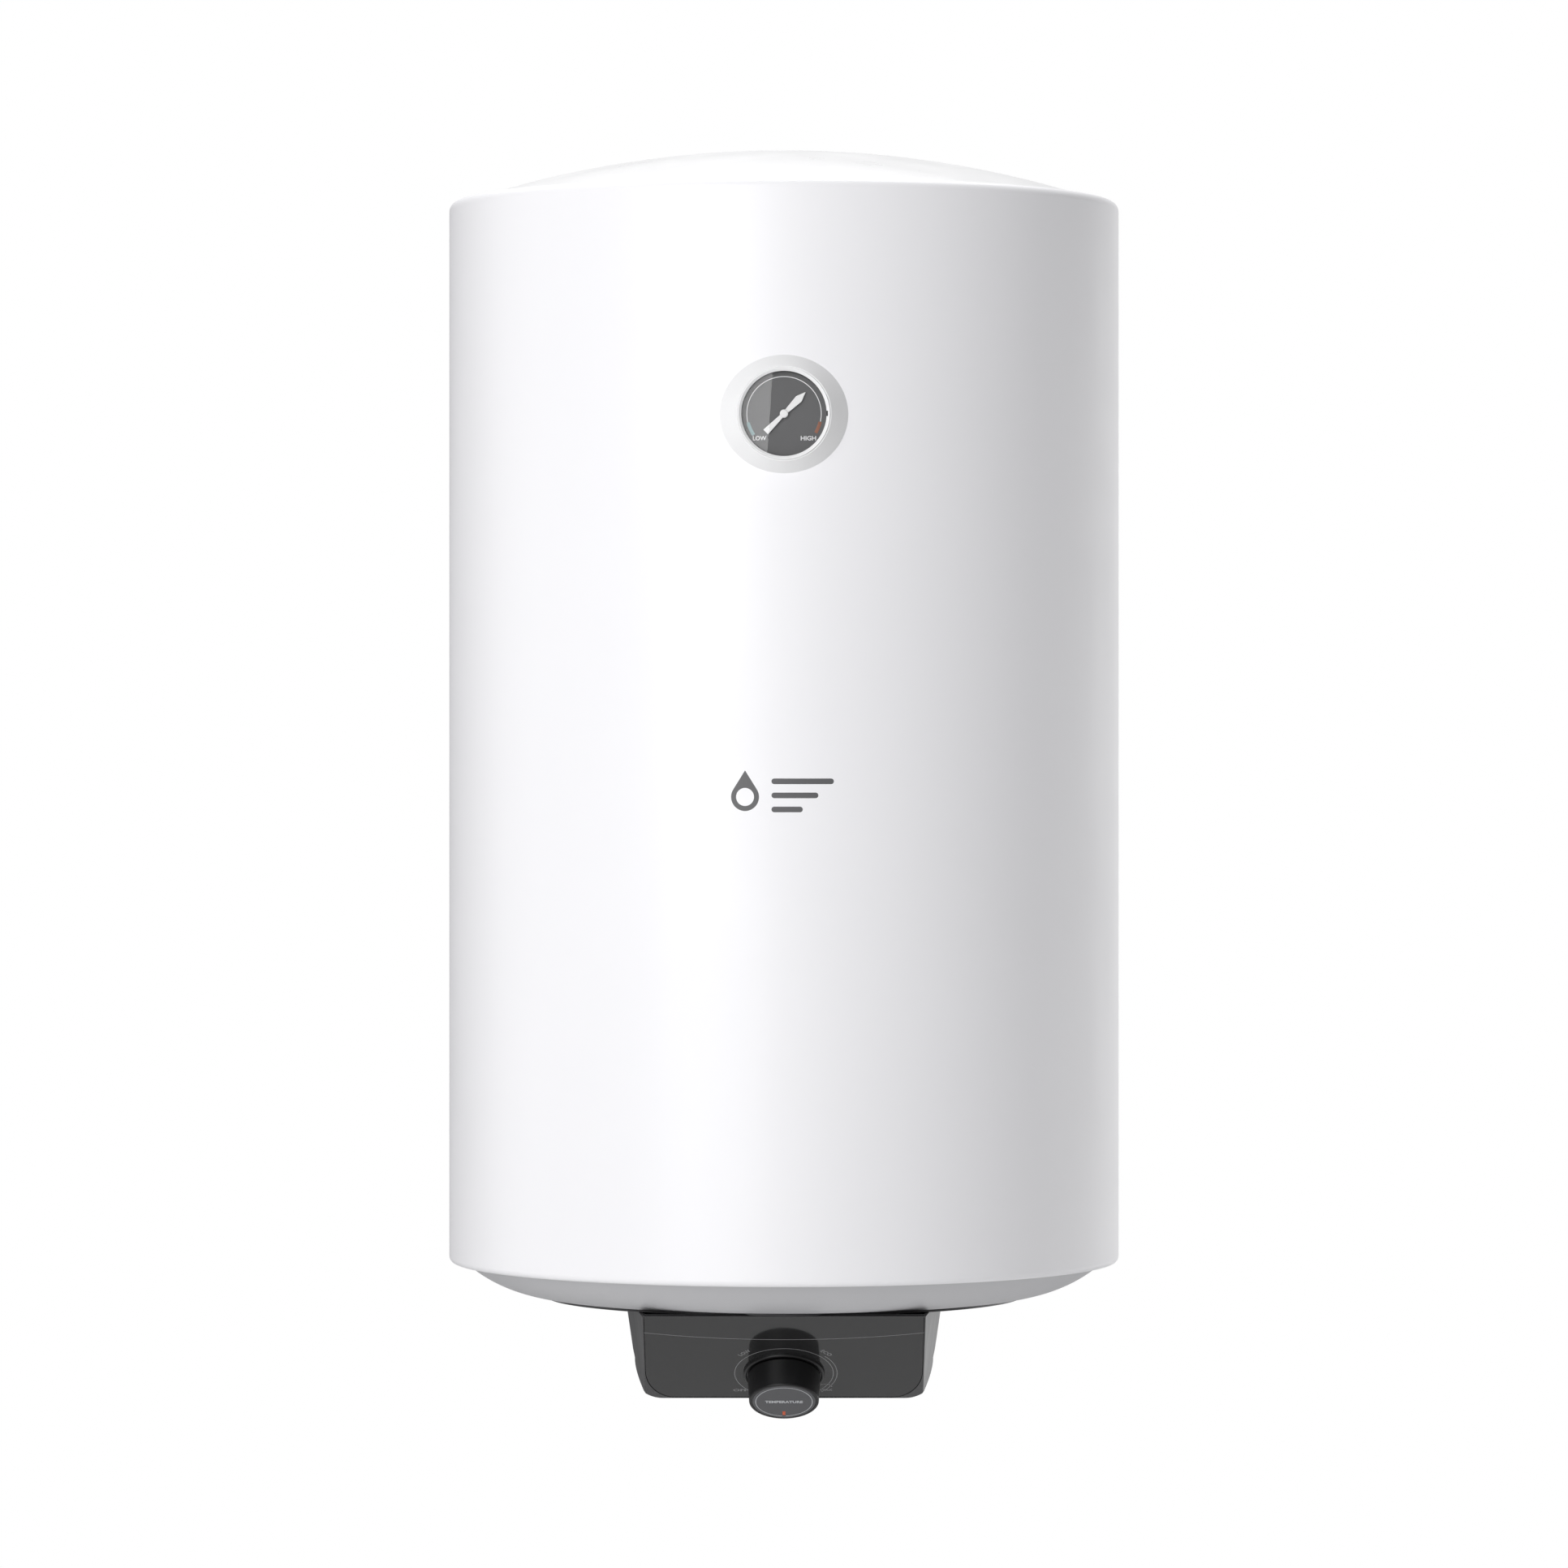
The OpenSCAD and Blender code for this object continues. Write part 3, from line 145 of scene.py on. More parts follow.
gland_low, gland_high = node_box("cord_gland")
GLAND_Z = (gland_low.z + gland_high.z) / 2
BUSH_HOLE_R = 5.4


# ---- Places: local frames in the row frame ----

def place_at(origin, across, up):
    """Local frame with x across, y up and z towards the viewer of that face; origin in millimetres."""
    x_axis = Vector(across).normalized()
    y_axis = Vector(up).normalized()
    z_axis = x_axis.cross(y_axis)
    matrix = Matrix((x_axis, y_axis, z_axis)).transposed().to_4x4()
    matrix.translation = Vector(origin)
    return matrix


def raised(place, height):
    """The same local frame, moved along its own z."""
    return place @ Matrix.Translation((0, 0, height))


ON_AXIS = Matrix.Translation((0, AXIS_Y, 0))
ON_PANEL = place_at(KNOB_AT, (1, 0, 0), (0, -math.cos(TILT), math.sin(TILT)))
ON_GAUGE = place_at((0, GAUGE_FRONT, GAUGE_Z), (1, 0, 0), (0, 0, 1))
ON_BOX_BACK = place_at((0, AXIS_Y + COVER_BACK, GLAND_Z), (-1, 0, 0), (0, 0, 1))
CAD_WHOLE = Matrix.Identity(4)


# ---- Outlines ----

def arc(centre_x, centre_y, radius, start, end, steps=12):
    """Points along an arc from one angle to another, in degrees."""
    points = []
    for step in range(steps + 1):
        angle = math.radians(start + (end - start) * step / steps)
        points.append((centre_x + radius * math.cos(angle), centre_y + radius * math.sin(angle)))
    return points


def softened(corners, steps=4):
    """Closed outline from corners (x, y, radius), each rounded by its own radius."""
    points = []
    for index, (x, y, radius) in enumerate(corners):
        here = Vector((x, y))
        if radius == 0:
            points.append((x, y))
            continue
        before = (Vector(corners[index - 1][:2]) - here).normalized()
        after = (Vector(corners[(index + 1) % len(corners)][:2]) - here).normalized()
        half = before.angle(after) / 2
        centre = here + (before + after).normalized() * (radius / math.sin(half))
        reach = radius / math.tan(half)
        first = here + before * reach - centre
        last = here + after * reach - centre
        start = math.atan2(first.y, first.x)
        turn = math.atan2(last.y, last.x) - start
        turn = (turn + math.pi) % (2 * math.pi) - math.pi
        for step in range(steps + 1):
            angle = start + turn * step / steps
            points.append((centre.x + radius * math.cos(angle), centre.y + radius * math.sin(angle)))
    return points


def block_outline(left, foot, right, top, radius, steps=4):
    """Rectangle with equal rounded corners."""
    corners = [(left, foot, radius), (right, foot, radius), (right, top, radius), (left, top, radius)]
    return softened(corners, steps)


def circle(radius, x=0, y=0, steps=48):
    """Points round a circle."""
    return arc(x, y, radius, 0, 360 * (steps - 1) / steps, steps - 1)


# ---- Mesh tools ----

def to_object(name, bm, place, crease=32):
    """Object from a bmesh drawn in millimetres in a local frame, smooth below the crease angle."""
    bmesh.ops.remove_doubles(bm, verts=bm.verts, dist=1e-4)
    bmesh.ops.recalc_face_normals(bm, faces=bm.faces)
    mesh = bpy.data.meshes.new(name)
    bm.to_mesh(mesh)
    bm.free()
    mesh.transform(Matrix.Scale(MM, 4) @ place)
    mesh.shade_smooth()
    mesh.set_sharp_from_angle(angle=math.radians(crease))
    piece = bpy.data.objects.new(name, mesh)
    bpy.context.scene.collection.objects.link(piece)
    return piece


def ring_faces(bm, lower, upper):
    """Faces between two rings of vertices; a ring of one vertex is a pole."""
    count = max(len(lower), len(upper))
    for index in range(count):
        after = index + 1
        corners = [lower[index % len(lower)], lower[after % len(lower)],
                   upper[after % len(upper)], upper[index % len(upper)]]
        corners = list(dict.fromkeys(corners))
        if len(corners) > 2:
            bm.faces.new(corners)


def turned(name, outline, place=ON_AXIS, steps=128, crease=32, shape=None):
    """Closed outline of (radius, height) turned round the local z axis.
    shape(radius, height, angle) may move a point to another (radius, height)."""
    bm = bmesh.new()
    rings = []
    for radius, height in outline:
        if radius < 1e-6:
            rings.append([bm.verts.new((0, 0, height))])
            continue
        ring = []
        for step in range(steps):
            angle = 2 * math.pi * step / steps
            out, up = shape(radius, height, angle) if shape else (radius, height)
            ring.append(bm.verts.new((out * math.cos(angle), out * math.sin(angle), up)))
        rings.append(ring)
    for index, ring in enumerate(rings):
        following = rings[(index + 1) % len(rings)]
        if len(ring) > 1 or len(following) > 1:
            ring_faces(bm, ring, following)
    return to_object(name, bm, place, crease)


def lofted(name, rings, place, crease=32):
    """Closed body through rings of equal length, its two ends capped."""
    bm = bmesh.new()
    levels = [[bm.verts.new(point) for point in ring] for ring in rings]
    for lower, upper in zip(levels, levels[1:]):
        ring_faces(bm, lower, upper)
    bm.faces.new(levels[0])
    bm.faces.new(levels[-1])
    return to_object(name, bm, place, crease)


def from_curve(curve, place, name, crease=32, fit=None):
    """Mesh object from a filled curve or lettering drawn in millimetres.
    fit = (width, height) scales it to that size about its own middle."""
    shape = bpy.data.objects.new(name, curve)
    bpy.context.scene.collection.objects.link(shape)
    seen = shape.evaluated_get(bpy.context.evaluated_depsgraph_get())
    mesh = bpy.data.meshes.new_from_object(seen)
    bpy.data.objects.remove(shape)
    bpy.data.curves.remove(curve)
    bm = bmesh.new()
    bm.from_mesh(mesh)
    bpy.data.meshes.remove(mesh)
    if fit:
        points = [vertex.co.copy() for vertex in bm.verts]
        low = [min(point[axis] for point in points) for axis in range(2)]
        high = [max(point[axis] for point in points) for axis in range(2)]
        for vertex in bm.verts:
            for axis in range(2):
                middle = (low[axis] + high[axis]) / 2
                vertex.co[axis] = (vertex.co[axis] - middle) * fit[axis] / (high[axis] - low[axis])
    return to_object(name, bm, place, crease)


def plate(name, loops, thickness, edge, place, crease=32):
    """Flat plate with rounded edges, its face at local z = 0 and its body behind it.
    The first loop is the outline and the others are holes."""
    curve = bpy.data.curves.new(name, "CURVE")
    curve.dimensions = "2D"
    curve.fill_mode = "BOTH"
    curve.extrude = thickness / 2 - edge
    curve.bevel_depth = edge
    curve.bevel_resolution = 2
    curve.offset = -edge
    for loop in loops:
        spline = curve.splines.new("POLY")
        spline.points.add(len(loop) - 1)
        for point, (x, y) in zip(spline.points, loop):
            point.co = (x, y, 0, 1)
        spline.use_cyclic_u = True
    return from_curve(curve, raised(place, -thickness / 2), name, crease)


def lettering(name, text, width, height, place, weight=0.02):
    """Thin raised print of a word, as wide and high as given, its foot at local z = 0.
    Weight thickens the strokes, as a share of the height."""
    curve = bpy.data.curves.new(name, "FONT")
    curve.body = text
    curve.size = height
    curve.offset = weight * height
    curve.resolution_u = 3
    curve.extrude = PRINT_T / 2
    return from_curve(curve, raised(place, PRINT_T / 2), name, fit=(width, height))


def band(name, radius, width, start, end, place, steps=72):
    """Thin raised arc of print; angles run clockwise from straight up."""
    outer = arc(0, 0, radius + width / 2, 90 - start, 90 - end, steps)
    inner = arc(0, 0, radius - width / 2, 90 - end, 90 - start, steps)
    return printed_shape(name, [outer + inner], place)


def printed_shape(name, loops, place):
    """Thin raised print of any outline, its foot at local z = 0."""
    return plate(name, loops, PRINT_T, 0.001, raised(place, PRINT_T))


def merged(name, parts):
    """One piece from several."""
    bm = bmesh.new()
    for part in parts:
        bm.from_mesh(part.data)
    for part in parts[1:]:
        bpy.data.objects.remove(part)
    bm.to_mesh(parts[0].data)
    bm.free()
    parts[0].name = name
    return parts[0]


def settle(piece, crease=32):
    """Applies a piece's modifiers to its mesh."""
    seen = piece.evaluated_get(bpy.context.evaluated_depsgraph_get())
    mesh = bpy.data.meshes.new_from_object(seen)
    piece.modifiers.clear()
    old = piece.data
    piece.data = mesh
    bpy.data.meshes.remove(old)
    mesh.shade_smooth()
    mesh.set_sharp_from_angle(angle=math.radians(crease))
    return piece


def cut_away(piece, cutters, crease=32):
    """Cuts other shapes out of a piece and removes them."""
    for cutter in cutters:
        boolean = piece.modifiers.new("cut", "BOOLEAN")
        boolean.operation = "DIFFERENCE"
        boolean.solver = "EXACT"
        boolean.object = cutter
    settle(piece, crease)
    for cutter in cutters:
        bpy.data.objects.remove(cutter)
    return piece


def rod(radius, low, high, place, steps=48):
    """Plain cutter cylinder along local z."""
    return turned("cutter", [(0, low), (radius, low), (radius, high), (0, high)], place, steps)


def bar(low, high, place=CAD_WHOLE):
    """Plain cutter block between two corners."""
    left, front, foot = low
    right, back, top = high
    rings = [[(left, front, z), (right, front, z), (right, back, z), (left, back, z)] for z in (foot, top)]
    return lofted("cutter", rings, place)


# ---- Shader node groups ----

def new_group(name, inputs, outputs):
    """Node group with named float or colour sockets; inputs are name: default."""
    group = bpy.data.node_groups.new(name, "ShaderNodeTree")
    for label, default in inputs.items():
        socket = group.interface.new_socket(label, in_out="INPUT", socket_type="NodeSocketFloat")
        socket.default_value = default
    for label in outputs:
        group.interface.new_socket(label, in_out="OUTPUT", socket_type="NodeSocketFloat")
    group_in = group.nodes.new("NodeGroupInput")
    group_out = group.nodes.new("NodeGroupOutput")
    return group, group_in.outputs, group_out.inputs


def put(tree, kind, settings=None, **sockets):
    """Adds a node; each socket, by its name or as i and its number, takes a value or an output."""
    node = tree.nodes.new(kind)
    for label, value in (settings or {}).items():
        setattr(node, label, value)
    for label, value in sockets.items():
        numbered = label[0] == "i" and label[1:].isdigit()
        socket = node.inputs[int(label[1:]) if numbered else label.replace("_", " ")]
        if isinstance(value, bpy.types.NodeSocket):
            tree.links.new(value, socket)
        else:
            socket.default_value = value
    return node


def math_node(tree, operation, first, second=0.0, clamp=False):
    """Output of a two-value sum."""
    settings = {"operation": operation, "use_clamp": clamp}
    return put(tree, "ShaderNodeMath", settings, i0=first, i1=second).outputs[0]


def noise_field(tree, scale, detail=2.0, roughness=0.5, stretch=None):
    """Noise over the piece's own coordinates, in metres."""
    vector = tree.nodes.new("ShaderNodeTexCoord").outputs["Object"]
    if stretch:
        vector = put(tree, "ShaderNodeMapping", Vector=vector, Scale=stretch).outputs[0]
    return put(tree, "ShaderNodeTexNoise", Vector=vector, Scale=scale,
               Detail=detail, Roughness=roughness).outputs[0]


def grain_group():
    """Fine moulded or sprayed grain, and slow changes of tone over a piece."""
    group, given, out = new_group("Moulded grain", {"Scale": 1500.0, "Tone scale": 9.0}, ["Height", "Tone"])
    fine = noise_field(group, given["Scale"], 3.0, 0.6)
    coarse = noise_field(group, math_node(group, "MULTIPLY", given["Scale"], 0.35), 1.0)
    height = math_node(group, "ADD", math_node(group, "MULTIPLY", fine, 0.6),
                       math_node(group, "MULTIPLY", coarse, 0.4))
    group.links.new(height, out["Height"])
    group.links.new(noise_field(group, given["Tone scale"], 3.0, 0.55), out["Tone"])
    return group


def wear_group():
    """Rubbed edges: strong on convex edges, broken up by noise."""
    inputs = {"Start": 0.53, "Full": 0.62, "Breakup scale": 260.0}
    group, given, out = new_group("Rubbed edges", inputs, ["Wear"])
    pointed = group.nodes.new("ShaderNodeNewGeometry").outputs["Pointiness"]
    ramp = put(group, "ShaderNodeMapRange", Value=pointed, From_Min=given["Start"], From_Max=given["Full"])
    broken = noise_field(group, given["Breakup scale"], 4.0, 0.7)
    broken = put(group, "ShaderNodeMapRange", Value=broken, From_Min=0.35, From_Max=0.6).outputs[0]
    group.links.new(math_node(group, "MULTIPLY", ramp.outputs[0], broken, True), out["Wear"])
    return group


def dust_group():
    """Dust that settles on surfaces facing up, thicker in soft patches."""
    group, given, out = new_group("Settled dust", {"Amount": 0.2, "Scale": 30.0}, ["Dust"])
    normal = group.nodes.new("ShaderNodeNewGeometry").outputs["Normal"]
    up = put(group, "ShaderNodeSeparateXYZ", Vector=normal).outputs["Z"]
    facing = put(group, "ShaderNodeMapRange", Value=up, From_Min=0.55, From_Max=1.0).outputs[0]
    patches = put(group, "ShaderNodeMapRange", Value=noise_field(group, given["Scale"], 5.0, 0.6),
                  From_Min=0.35, From_Max=0.7).outputs[0]
    amount = math_node(group, "MULTIPLY", facing, given["Amount"])
    group.links.new(math_node(group, "MULTIPLY", amount, patches, True), out["Dust"])
    return group


def smudge_group():
    """Roughness that drifts over a surface where it was wiped and handled."""
    inputs = {"Roughness": 0.3, "Spread": 0.08, "Scale": 22.0}
    group, given, out = new_group("Wiped surface", inputs, ["Roughness"])
    broad = noise_field(group, given["Scale"], 4.0, 0.6)
    streaks = noise_field(group, given["Scale"], 2.0, 0.5, (1.0, 1.0, 0.25))
    average = math_node(group, "MULTIPLY", math_node(group, "ADD", broad, streaks), 0.5)
    drift = math_node(group, "SUBTRACT", average, 0.5)
    spread = math_node(group, "MULTIPLY", drift, math_node(group, "MULTIPLY", given["Spread"], 4.0))
    group.links.new(math_node(group, "ADD", spread, given["Roughness"], True), out["Roughness"])
    return group


def spangle_group():
    """Crystals of hot-dip zinc: cells of slightly different tone with fine borders."""
    group, given, out = new_group("Zinc spangle", {"Scale": 160.0}, ["Tone", "Height"])
    vector = group.nodes.new("ShaderNodeTexCoord").outputs["Object"]
    bent = noise_field(group, math_node(group, "MULTIPLY", given["Scale"], 1.5), 2.0)
    cells = put(group, "ShaderNodeTexVoronoi", Vector=vector, Scale=given["Scale"])
    tone = put(group, "ShaderNodeSeparateColor", Color=cells.outputs["Color"]).outputs[0]
    group.links.new(math_node(group, "ADD", math_node(group, "MULTIPLY", tone, 0.7),
                              math_node(group, "MULTIPLY", bent, 0.3)), out["Tone"])
    group.links.new(cells.outputs["Distance"], out["Height"])
    return group


def brushing_group():
    """Drawn or machined lines along a piece's height."""
    group, given, out = new_group("Drawn lines", {"Scale": 900.0}, ["Height", "Tone"])
    lines = noise_field(group, given["Scale"], 3.0, 0.6, (1.0, 1.0, 0.04))
    group.links.new(lines, out["Height"])
    group.links.new(noise_field(group, 40.0, 3.0), out["Tone"])
    return group


def cells_group():
    """Closed cells of rigid foam."""
    group, given, out = new_group("Foam cells", {"Scale": 700.0}, ["Height", "Tone"])
    vector = group.nodes.new("ShaderNodeTexCoord").outputs["Object"]
    cells = put(group, "ShaderNodeTexVoronoi", Vector=vector, Scale=given["Scale"])
    group.links.new(cells.outputs["Distance"], out["Height"])
    group.links.new(noise_field(group, 24.0, 5.0, 0.65), out["Tone"])
    return group


GRAIN = grain_group()
WEAR = wear_group()
DUST = dust_group()
WIPED = smudge_group()
SPANGLE = spangle_group()
LINES = brushing_group()
CELLS = cells_group()


# ---- Materials ----

def new_material(name):
    """Material with its Principled shader: returns material, tree, shader."""
    material = bpy.data.materials.new(name)
    material.use_nodes = True
    tree = material.node_tree
    return material, tree, tree.nodes["Principled BSDF"]


def group_node(tree, group, **values):
    """Outputs of a node group placed in a material."""
    return put(tree, "ShaderNodeGroup", {"node_tree": group}, **values).outputs


def blend_colour(tree, factor, first, second):
    """Colour that goes from the first to the second as the factor rises."""
    mix = tree.nodes.new("ShaderNodeMix")
    mix.data_type = "RGBA"
    for socket, value in ((mix.inputs[0], factor), (mix.inputs[6], first), (mix.inputs[7], second)):
        if isinstance(value, bpy.types.NodeSocket):
            tree.links.new(value, socket)
        else:
            socket.default_value = value
    return mix.outputs[2]


def shade(colour, factor):
    """A colour made darker or lighter by a factor."""
    return (colour[0] * factor, colour[1] * factor, colour[2] * factor, 1)


def surface(name, colour, roughness, spread=0.06, tone=0.04, grain=1500, depth=0.02, metallic=0.0,
            coat=0.0, shine=0.5, wear=0.0, worn_colour=None, dust=0.0, wiped=22,
            pattern=GRAIN, pattern_scale=None):
    """Opaque finish: tone drift, grain or another pattern as relief, wiped roughness, edge wear and dust.
    Depth is the relief's height in millimetres."""
    material, tree, shader = new_material(name)
    relief = group_node(tree, pattern, Scale=pattern_scale or grain)
    face = blend_colour(tree, relief["Tone"], shade(colour, 1 - tone), shade(colour, 1 + tone))
    if wear:
        worn = group_node(tree, WEAR)["Wear"]
        share = math_node(tree, "MULTIPLY", worn, wear)
        face = blend_colour(tree, share, face, (*(worn_colour or shade(colour, 1.6))[:3], 1))
    if dust:
        face = blend_colour(tree, group_node(tree, DUST, Amount=dust)["Dust"], face, (0.52, 0.5, 0.47, 1))
    tree.links.new(face, shader.inputs["Base Color"])
    rough = group_node(tree, WIPED, Roughness=roughness, Spread=spread, Scale=wiped)["Roughness"]
    tree.links.new(rough, shader.inputs["Roughness"])
    bump = put(tree, "ShaderNodeBump", Height=relief["Height"], Strength=1.0, Distance=depth * MM)
    tree.links.new(bump.outputs[0], shader.inputs["Normal"])
    shader.inputs["Metallic"].default_value = metallic
    shader.inputs["Specular IOR Level"].default_value = shine
    shader.inputs["Coat Weight"].default_value = coat
    shader.inputs["Coat Roughness"].default_value = 0.08
    return material


def white_paint():
    return surface("white_powder_coat", (0.858, 0.854, 0.874), 0.42, 0.05, 0.008, 420, 0.01,
                   coat=0.04, dust=0.03)


def shaded_collar_moulding():
    # painted shade: the collar's white plastic is made darker than the other white mouldings so that it
    # reads as shaded
    return surface("shaded_collar_moulding", (0.83, 0.83, 0.835), 0.4, 0.05, 0.008, 900, 0.006, dust=0.03)


def white_moulding():
    return surface("white_moulding", (0.88, 0.88, 0.885), 0.3, 0.05, 0.008, 900, 0.006, dust=0.03)


def grey_moulding():
    return surface("light_grey_moulding", (0.505, 0.505, 0.52), 0.42, 0.06, 0.02, 1700, 0.012, wear=0.15)


def dark_moulding():
    return surface("dark_grey_moulding", (0.03, 0.03, 0.032), 0.4, 0.08, 0.08, 2200, 0.016,
                   wear=0.35, dust=0.1)


def glossy_panel_finish():
    return surface("polished_dark_panel", (0.02, 0.02, 0.0205), 0.08, 0.03, 0.03, 260, 0.0008,
                   shine=0.27, wiped=14)


def knob_black():
    return surface("knob_black", (0.006, 0.006, 0.0065), 0.4, 0.08, 0.1, 1900, 0.006, shine=0.33, wear=0.4,
                   worn_colour=(0.07, 0.07, 0.07))


def knob_face_finish():
    return surface("knob_face_grey", (0.062, 0.063, 0.068), 0.38, 0.05, 0.03, 2400, 0.005, shine=0.4)


def orange_inlay():
    return surface("orange_inlay", (0.58, 0.07, 0.003), 0.4, 0.05, 0.06, 2000, 0.005)


def print_ink(name, colour):
    return surface(name, colour, 0.5, 0.05, 0.07, 3200, 0.002)


def dial_grey():
    return surface("dial_grey", (0.105, 0.105, 0.108), 0.5, 0.04, 0.03, 2600, 0.004)


def foam_finish():
    return surface("rigid_foam", (0.72, 0.58, 0.3), 0.85, 0.05, 0.16, depth=0.5,
                   pattern=CELLS, pattern_scale=600)


def enamel():
    return surface("vitreous_enamel", (0.02, 0.05, 0.11), 0.2, 0.08, 0.15, 300, 0.03, coat=0.5, wear=0.3)


def zinc():
    return surface("galvanised_steel", (0.5, 0.51, 0.53), 0.4, 0.12, 0.2, depth=0.02, metallic=1.0, wear=0.3,
                   pattern=SPANGLE, pattern_scale=140, dust=0.15)


def bright_zinc():
    return surface("bright_zinc_plate", (0.62, 0.63, 0.62), 0.3, 0.1, 0.08, depth=0.006, metallic=1.0,
                   wear=0.3, pattern=LINES, pattern_scale=1500, dust=0.05)


def copper():
    return surface("bare_copper", (0.72, 0.33, 0.19), 0.32, 0.15, 0.25, depth=0.005, metallic=1.0,
                   pattern=LINES, pattern_scale=1200)


def brass():
    return surface("bare_brass", (0.72, 0.52, 0.2), 0.28, 0.12, 0.15, depth=0.005, metallic=1.0, wear=0.2,
                   pattern=LINES, pattern_scale=1500)


def magnesium():
    return surface("cast_magnesium", (0.5, 0.5, 0.51), 0.55, 0.12, 0.12, 700, 0.04, metallic=1.0)


def rubber():
    return surface("black_rubber", (0.012, 0.012, 0.012), 0.75, 0.08, 0.15, 1400, 0.02)


def coloured_moulding(name, colour):
    return surface(name, colour, 0.42, 0.07, 0.06, 1900, 0.01, wear=0.25)


def phenolic():
    return surface("brown_phenolic", (0.035, 0.016, 0.008), 0.25, 0.06, 0.2, 500, 0.01, coat=0.2, wear=0.3)


def striped_sleeve():
    """Green wire sleeve with a yellow stripe along it."""
    material, tree, shader = new_material("green_yellow_sleeve")
    normal = tree.nodes.new("ShaderNodeNewGeometry").outputs["Normal"]
    side = put(tree, "ShaderNodeSeparateXYZ", Vector=normal).outputs["X"]
    stripe = put(tree, "ShaderNodeMapRange", Value=side, From_Min=0.15, From_Max=0.25).outputs[0]
    face = blend_colour(tree, stripe, (0.03, 0.3, 0.04, 1), (0.75, 0.6, 0.03, 1))
    tree.links.new(face, shader.inputs["Base Color"])
    tree.links.new(group_node(tree, WIPED, Roughness=0.45)["Roughness"], shader.inputs["Roughness"])
    return material


def clear_lens():
    """Clear window: mostly see-through, with its gloss kept."""
    material, tree, shader = new_material("clear_window")
    rough = group_node(tree, WIPED, Roughness=0.03, Spread=0.02, Scale=40.0)["Roughness"]
    tree.links.new(rough, shader.inputs["Roughness"])
    shader.inputs["Base Color"].default_value = (0.02, 0.02, 0.021, 1)
    shader.inputs["IOR"].default_value = 6.0
    shader.inputs["Alpha"].default_value = 0.06
    return material


M_PAINT = white_paint()
M_WHITE = white_moulding()
M_SHADED_COLLAR = shaded_collar_moulding()
M_GREY = grey_moulding()
M_DARK = dark_moulding()
M_PANEL = glossy_panel_finish()
M_KNOB = knob_black()
M_FACE = knob_face_finish()
M_ORANGE = orange_inlay()
# grey print for the panel's scale, also used for the painted reflection line across the panel
M_GREY_PRINT_AND_REFLECTION = print_ink("grey_print_and_reflection", (0.2, 0.2, 0.205))
M_INK_PALE = print_ink("pale_print", (0.5, 0.51, 0.53))
M_INK_WHITE = print_ink("white_print", (0.9, 0.9, 0.91))
M_INK_DARK = print_ink("dark_print", (0.1, 0.1, 0.104))
M_INK_COOL = print_ink("blue_green_print", (0.3, 0.45, 0.47))
M_INK_WARM = print_ink("red_brown_print", (0.3, 0.11, 0.06))
M_DIAL = dial_grey()
M_FOAM = foam_finish()
M_ENAMEL = enamel()
M_ZINC = zinc()
M_BRIGHT = bright_zinc()
M_COPPER = copper()
M_BRASS = brass()
M_MAGNESIUM = magnesium()
M_RUBBER = rubber()
M_BLUE = coloured_moulding("blue_moulding", (0.015, 0.09, 0.42))
M_RED = coloured_moulding("red_moulding", (0.42, 0.02, 0.02))
M_CREAM = coloured_moulding("cream_moulding", (0.72, 0.68, 0.56))
M_BLACK = coloured_moulding("black_moulding", (0.014, 0.014, 0.015))
M_BROWN = coloured_moulding("brown_sleeve", (0.12, 0.04, 0.015))
M_SLEEVE_BLUE = coloured_moulding("blue_sleeve", (0.02, 0.12, 0.42))
M_PHENOLIC = phenolic()
M_SLEEVE_EARTH = striped_sleeve()
M_LENS = clear_lens()
M_NEEDLE = surface("white_enamel", (0.93, 0.93, 0.93), 0.4, 0.04, 0.02, 2600, 0.003)


def dress(piece, material, body, slot, *nodes):
    """Gives a piece its finish, body, the nodes that it stands for and even shading; the slot is not used.
    """
    piece.data.materials.clear()
    piece.data.materials.append(material)
    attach(piece, body)
    if nodes:
        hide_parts(*nodes)
    even = piece.modifiers.new("even shading", "WEIGHTED_NORMAL")
    even.keep_sharp = True
    return piece


# ---- Casing and caps ----

def casing_outline():
    """Sheet section with a rolled rim and an inward lip at each end."""
    top = RIM_TOP - TOP_RIM_R
    foot = RIM_BOTTOM + BOTTOM_RIM_R
    outer = [(TOP_LIP_R, RIM_TOP)]
    outer += arc(CASING_R - TOP_RIM_R, top, TOP_RIM_R, 90, 0, 10)
    outer += arc(CASING_R - BOTTOM_RIM_R, foot, BOTTOM_RIM_R, 0, -90, 8)
    outer += [(BOTTOM_LIP_R, RIM_BOTTOM)]
    inner = [(BOTTOM_LIP_R, RIM_BOTTOM + SHEET)]
    inner += arc(CASING_R - BOTTOM_RIM_R, foot, BOTTOM_RIM_R - SHEET, -90, 0, 8)
    inner += arc(CASING_R - TOP_RIM_R, top, TOP_RIM_R - SHEET, 0, 90, 10)
    inner += [(TOP_LIP_R, RIM_TOP - SHEET)]
    return outer + inner


def leg_slot_cutters():
    """Slots in the casing's back that the bracket legs pass through."""
    clear = 0.4
    half_t = BRACKET_T / 2 + clear
    cutters = []
    for node in ("upper_wall_bracket", "lower_wall_bracket"):
        low, high = node_box(node)
        for side in (-1, 1):
            middle = side * LEG_X
            cutters.append(bar((middle - half_t, AXIS_Y + CASING_R / 2, low.z - clear),
                               (middle + half_t, high.y, high.z + clear)))
    return cutters


def build_casing():
    """White sheet casing with its rolled rims, gauge hole and leg slots."""
    shell = turned("casing_shell", casing_outline(), steps=360)
    hole_depth = 14
    gauge_hole = rod(BEZEL_R, -hole_depth, 4, ON_GAUGE, 96)
    cut_away(shell, [gauge_hole] + leg_slot_cutters())
    dress(shell, M_PAINT, "heater", "white_paint", "casing")


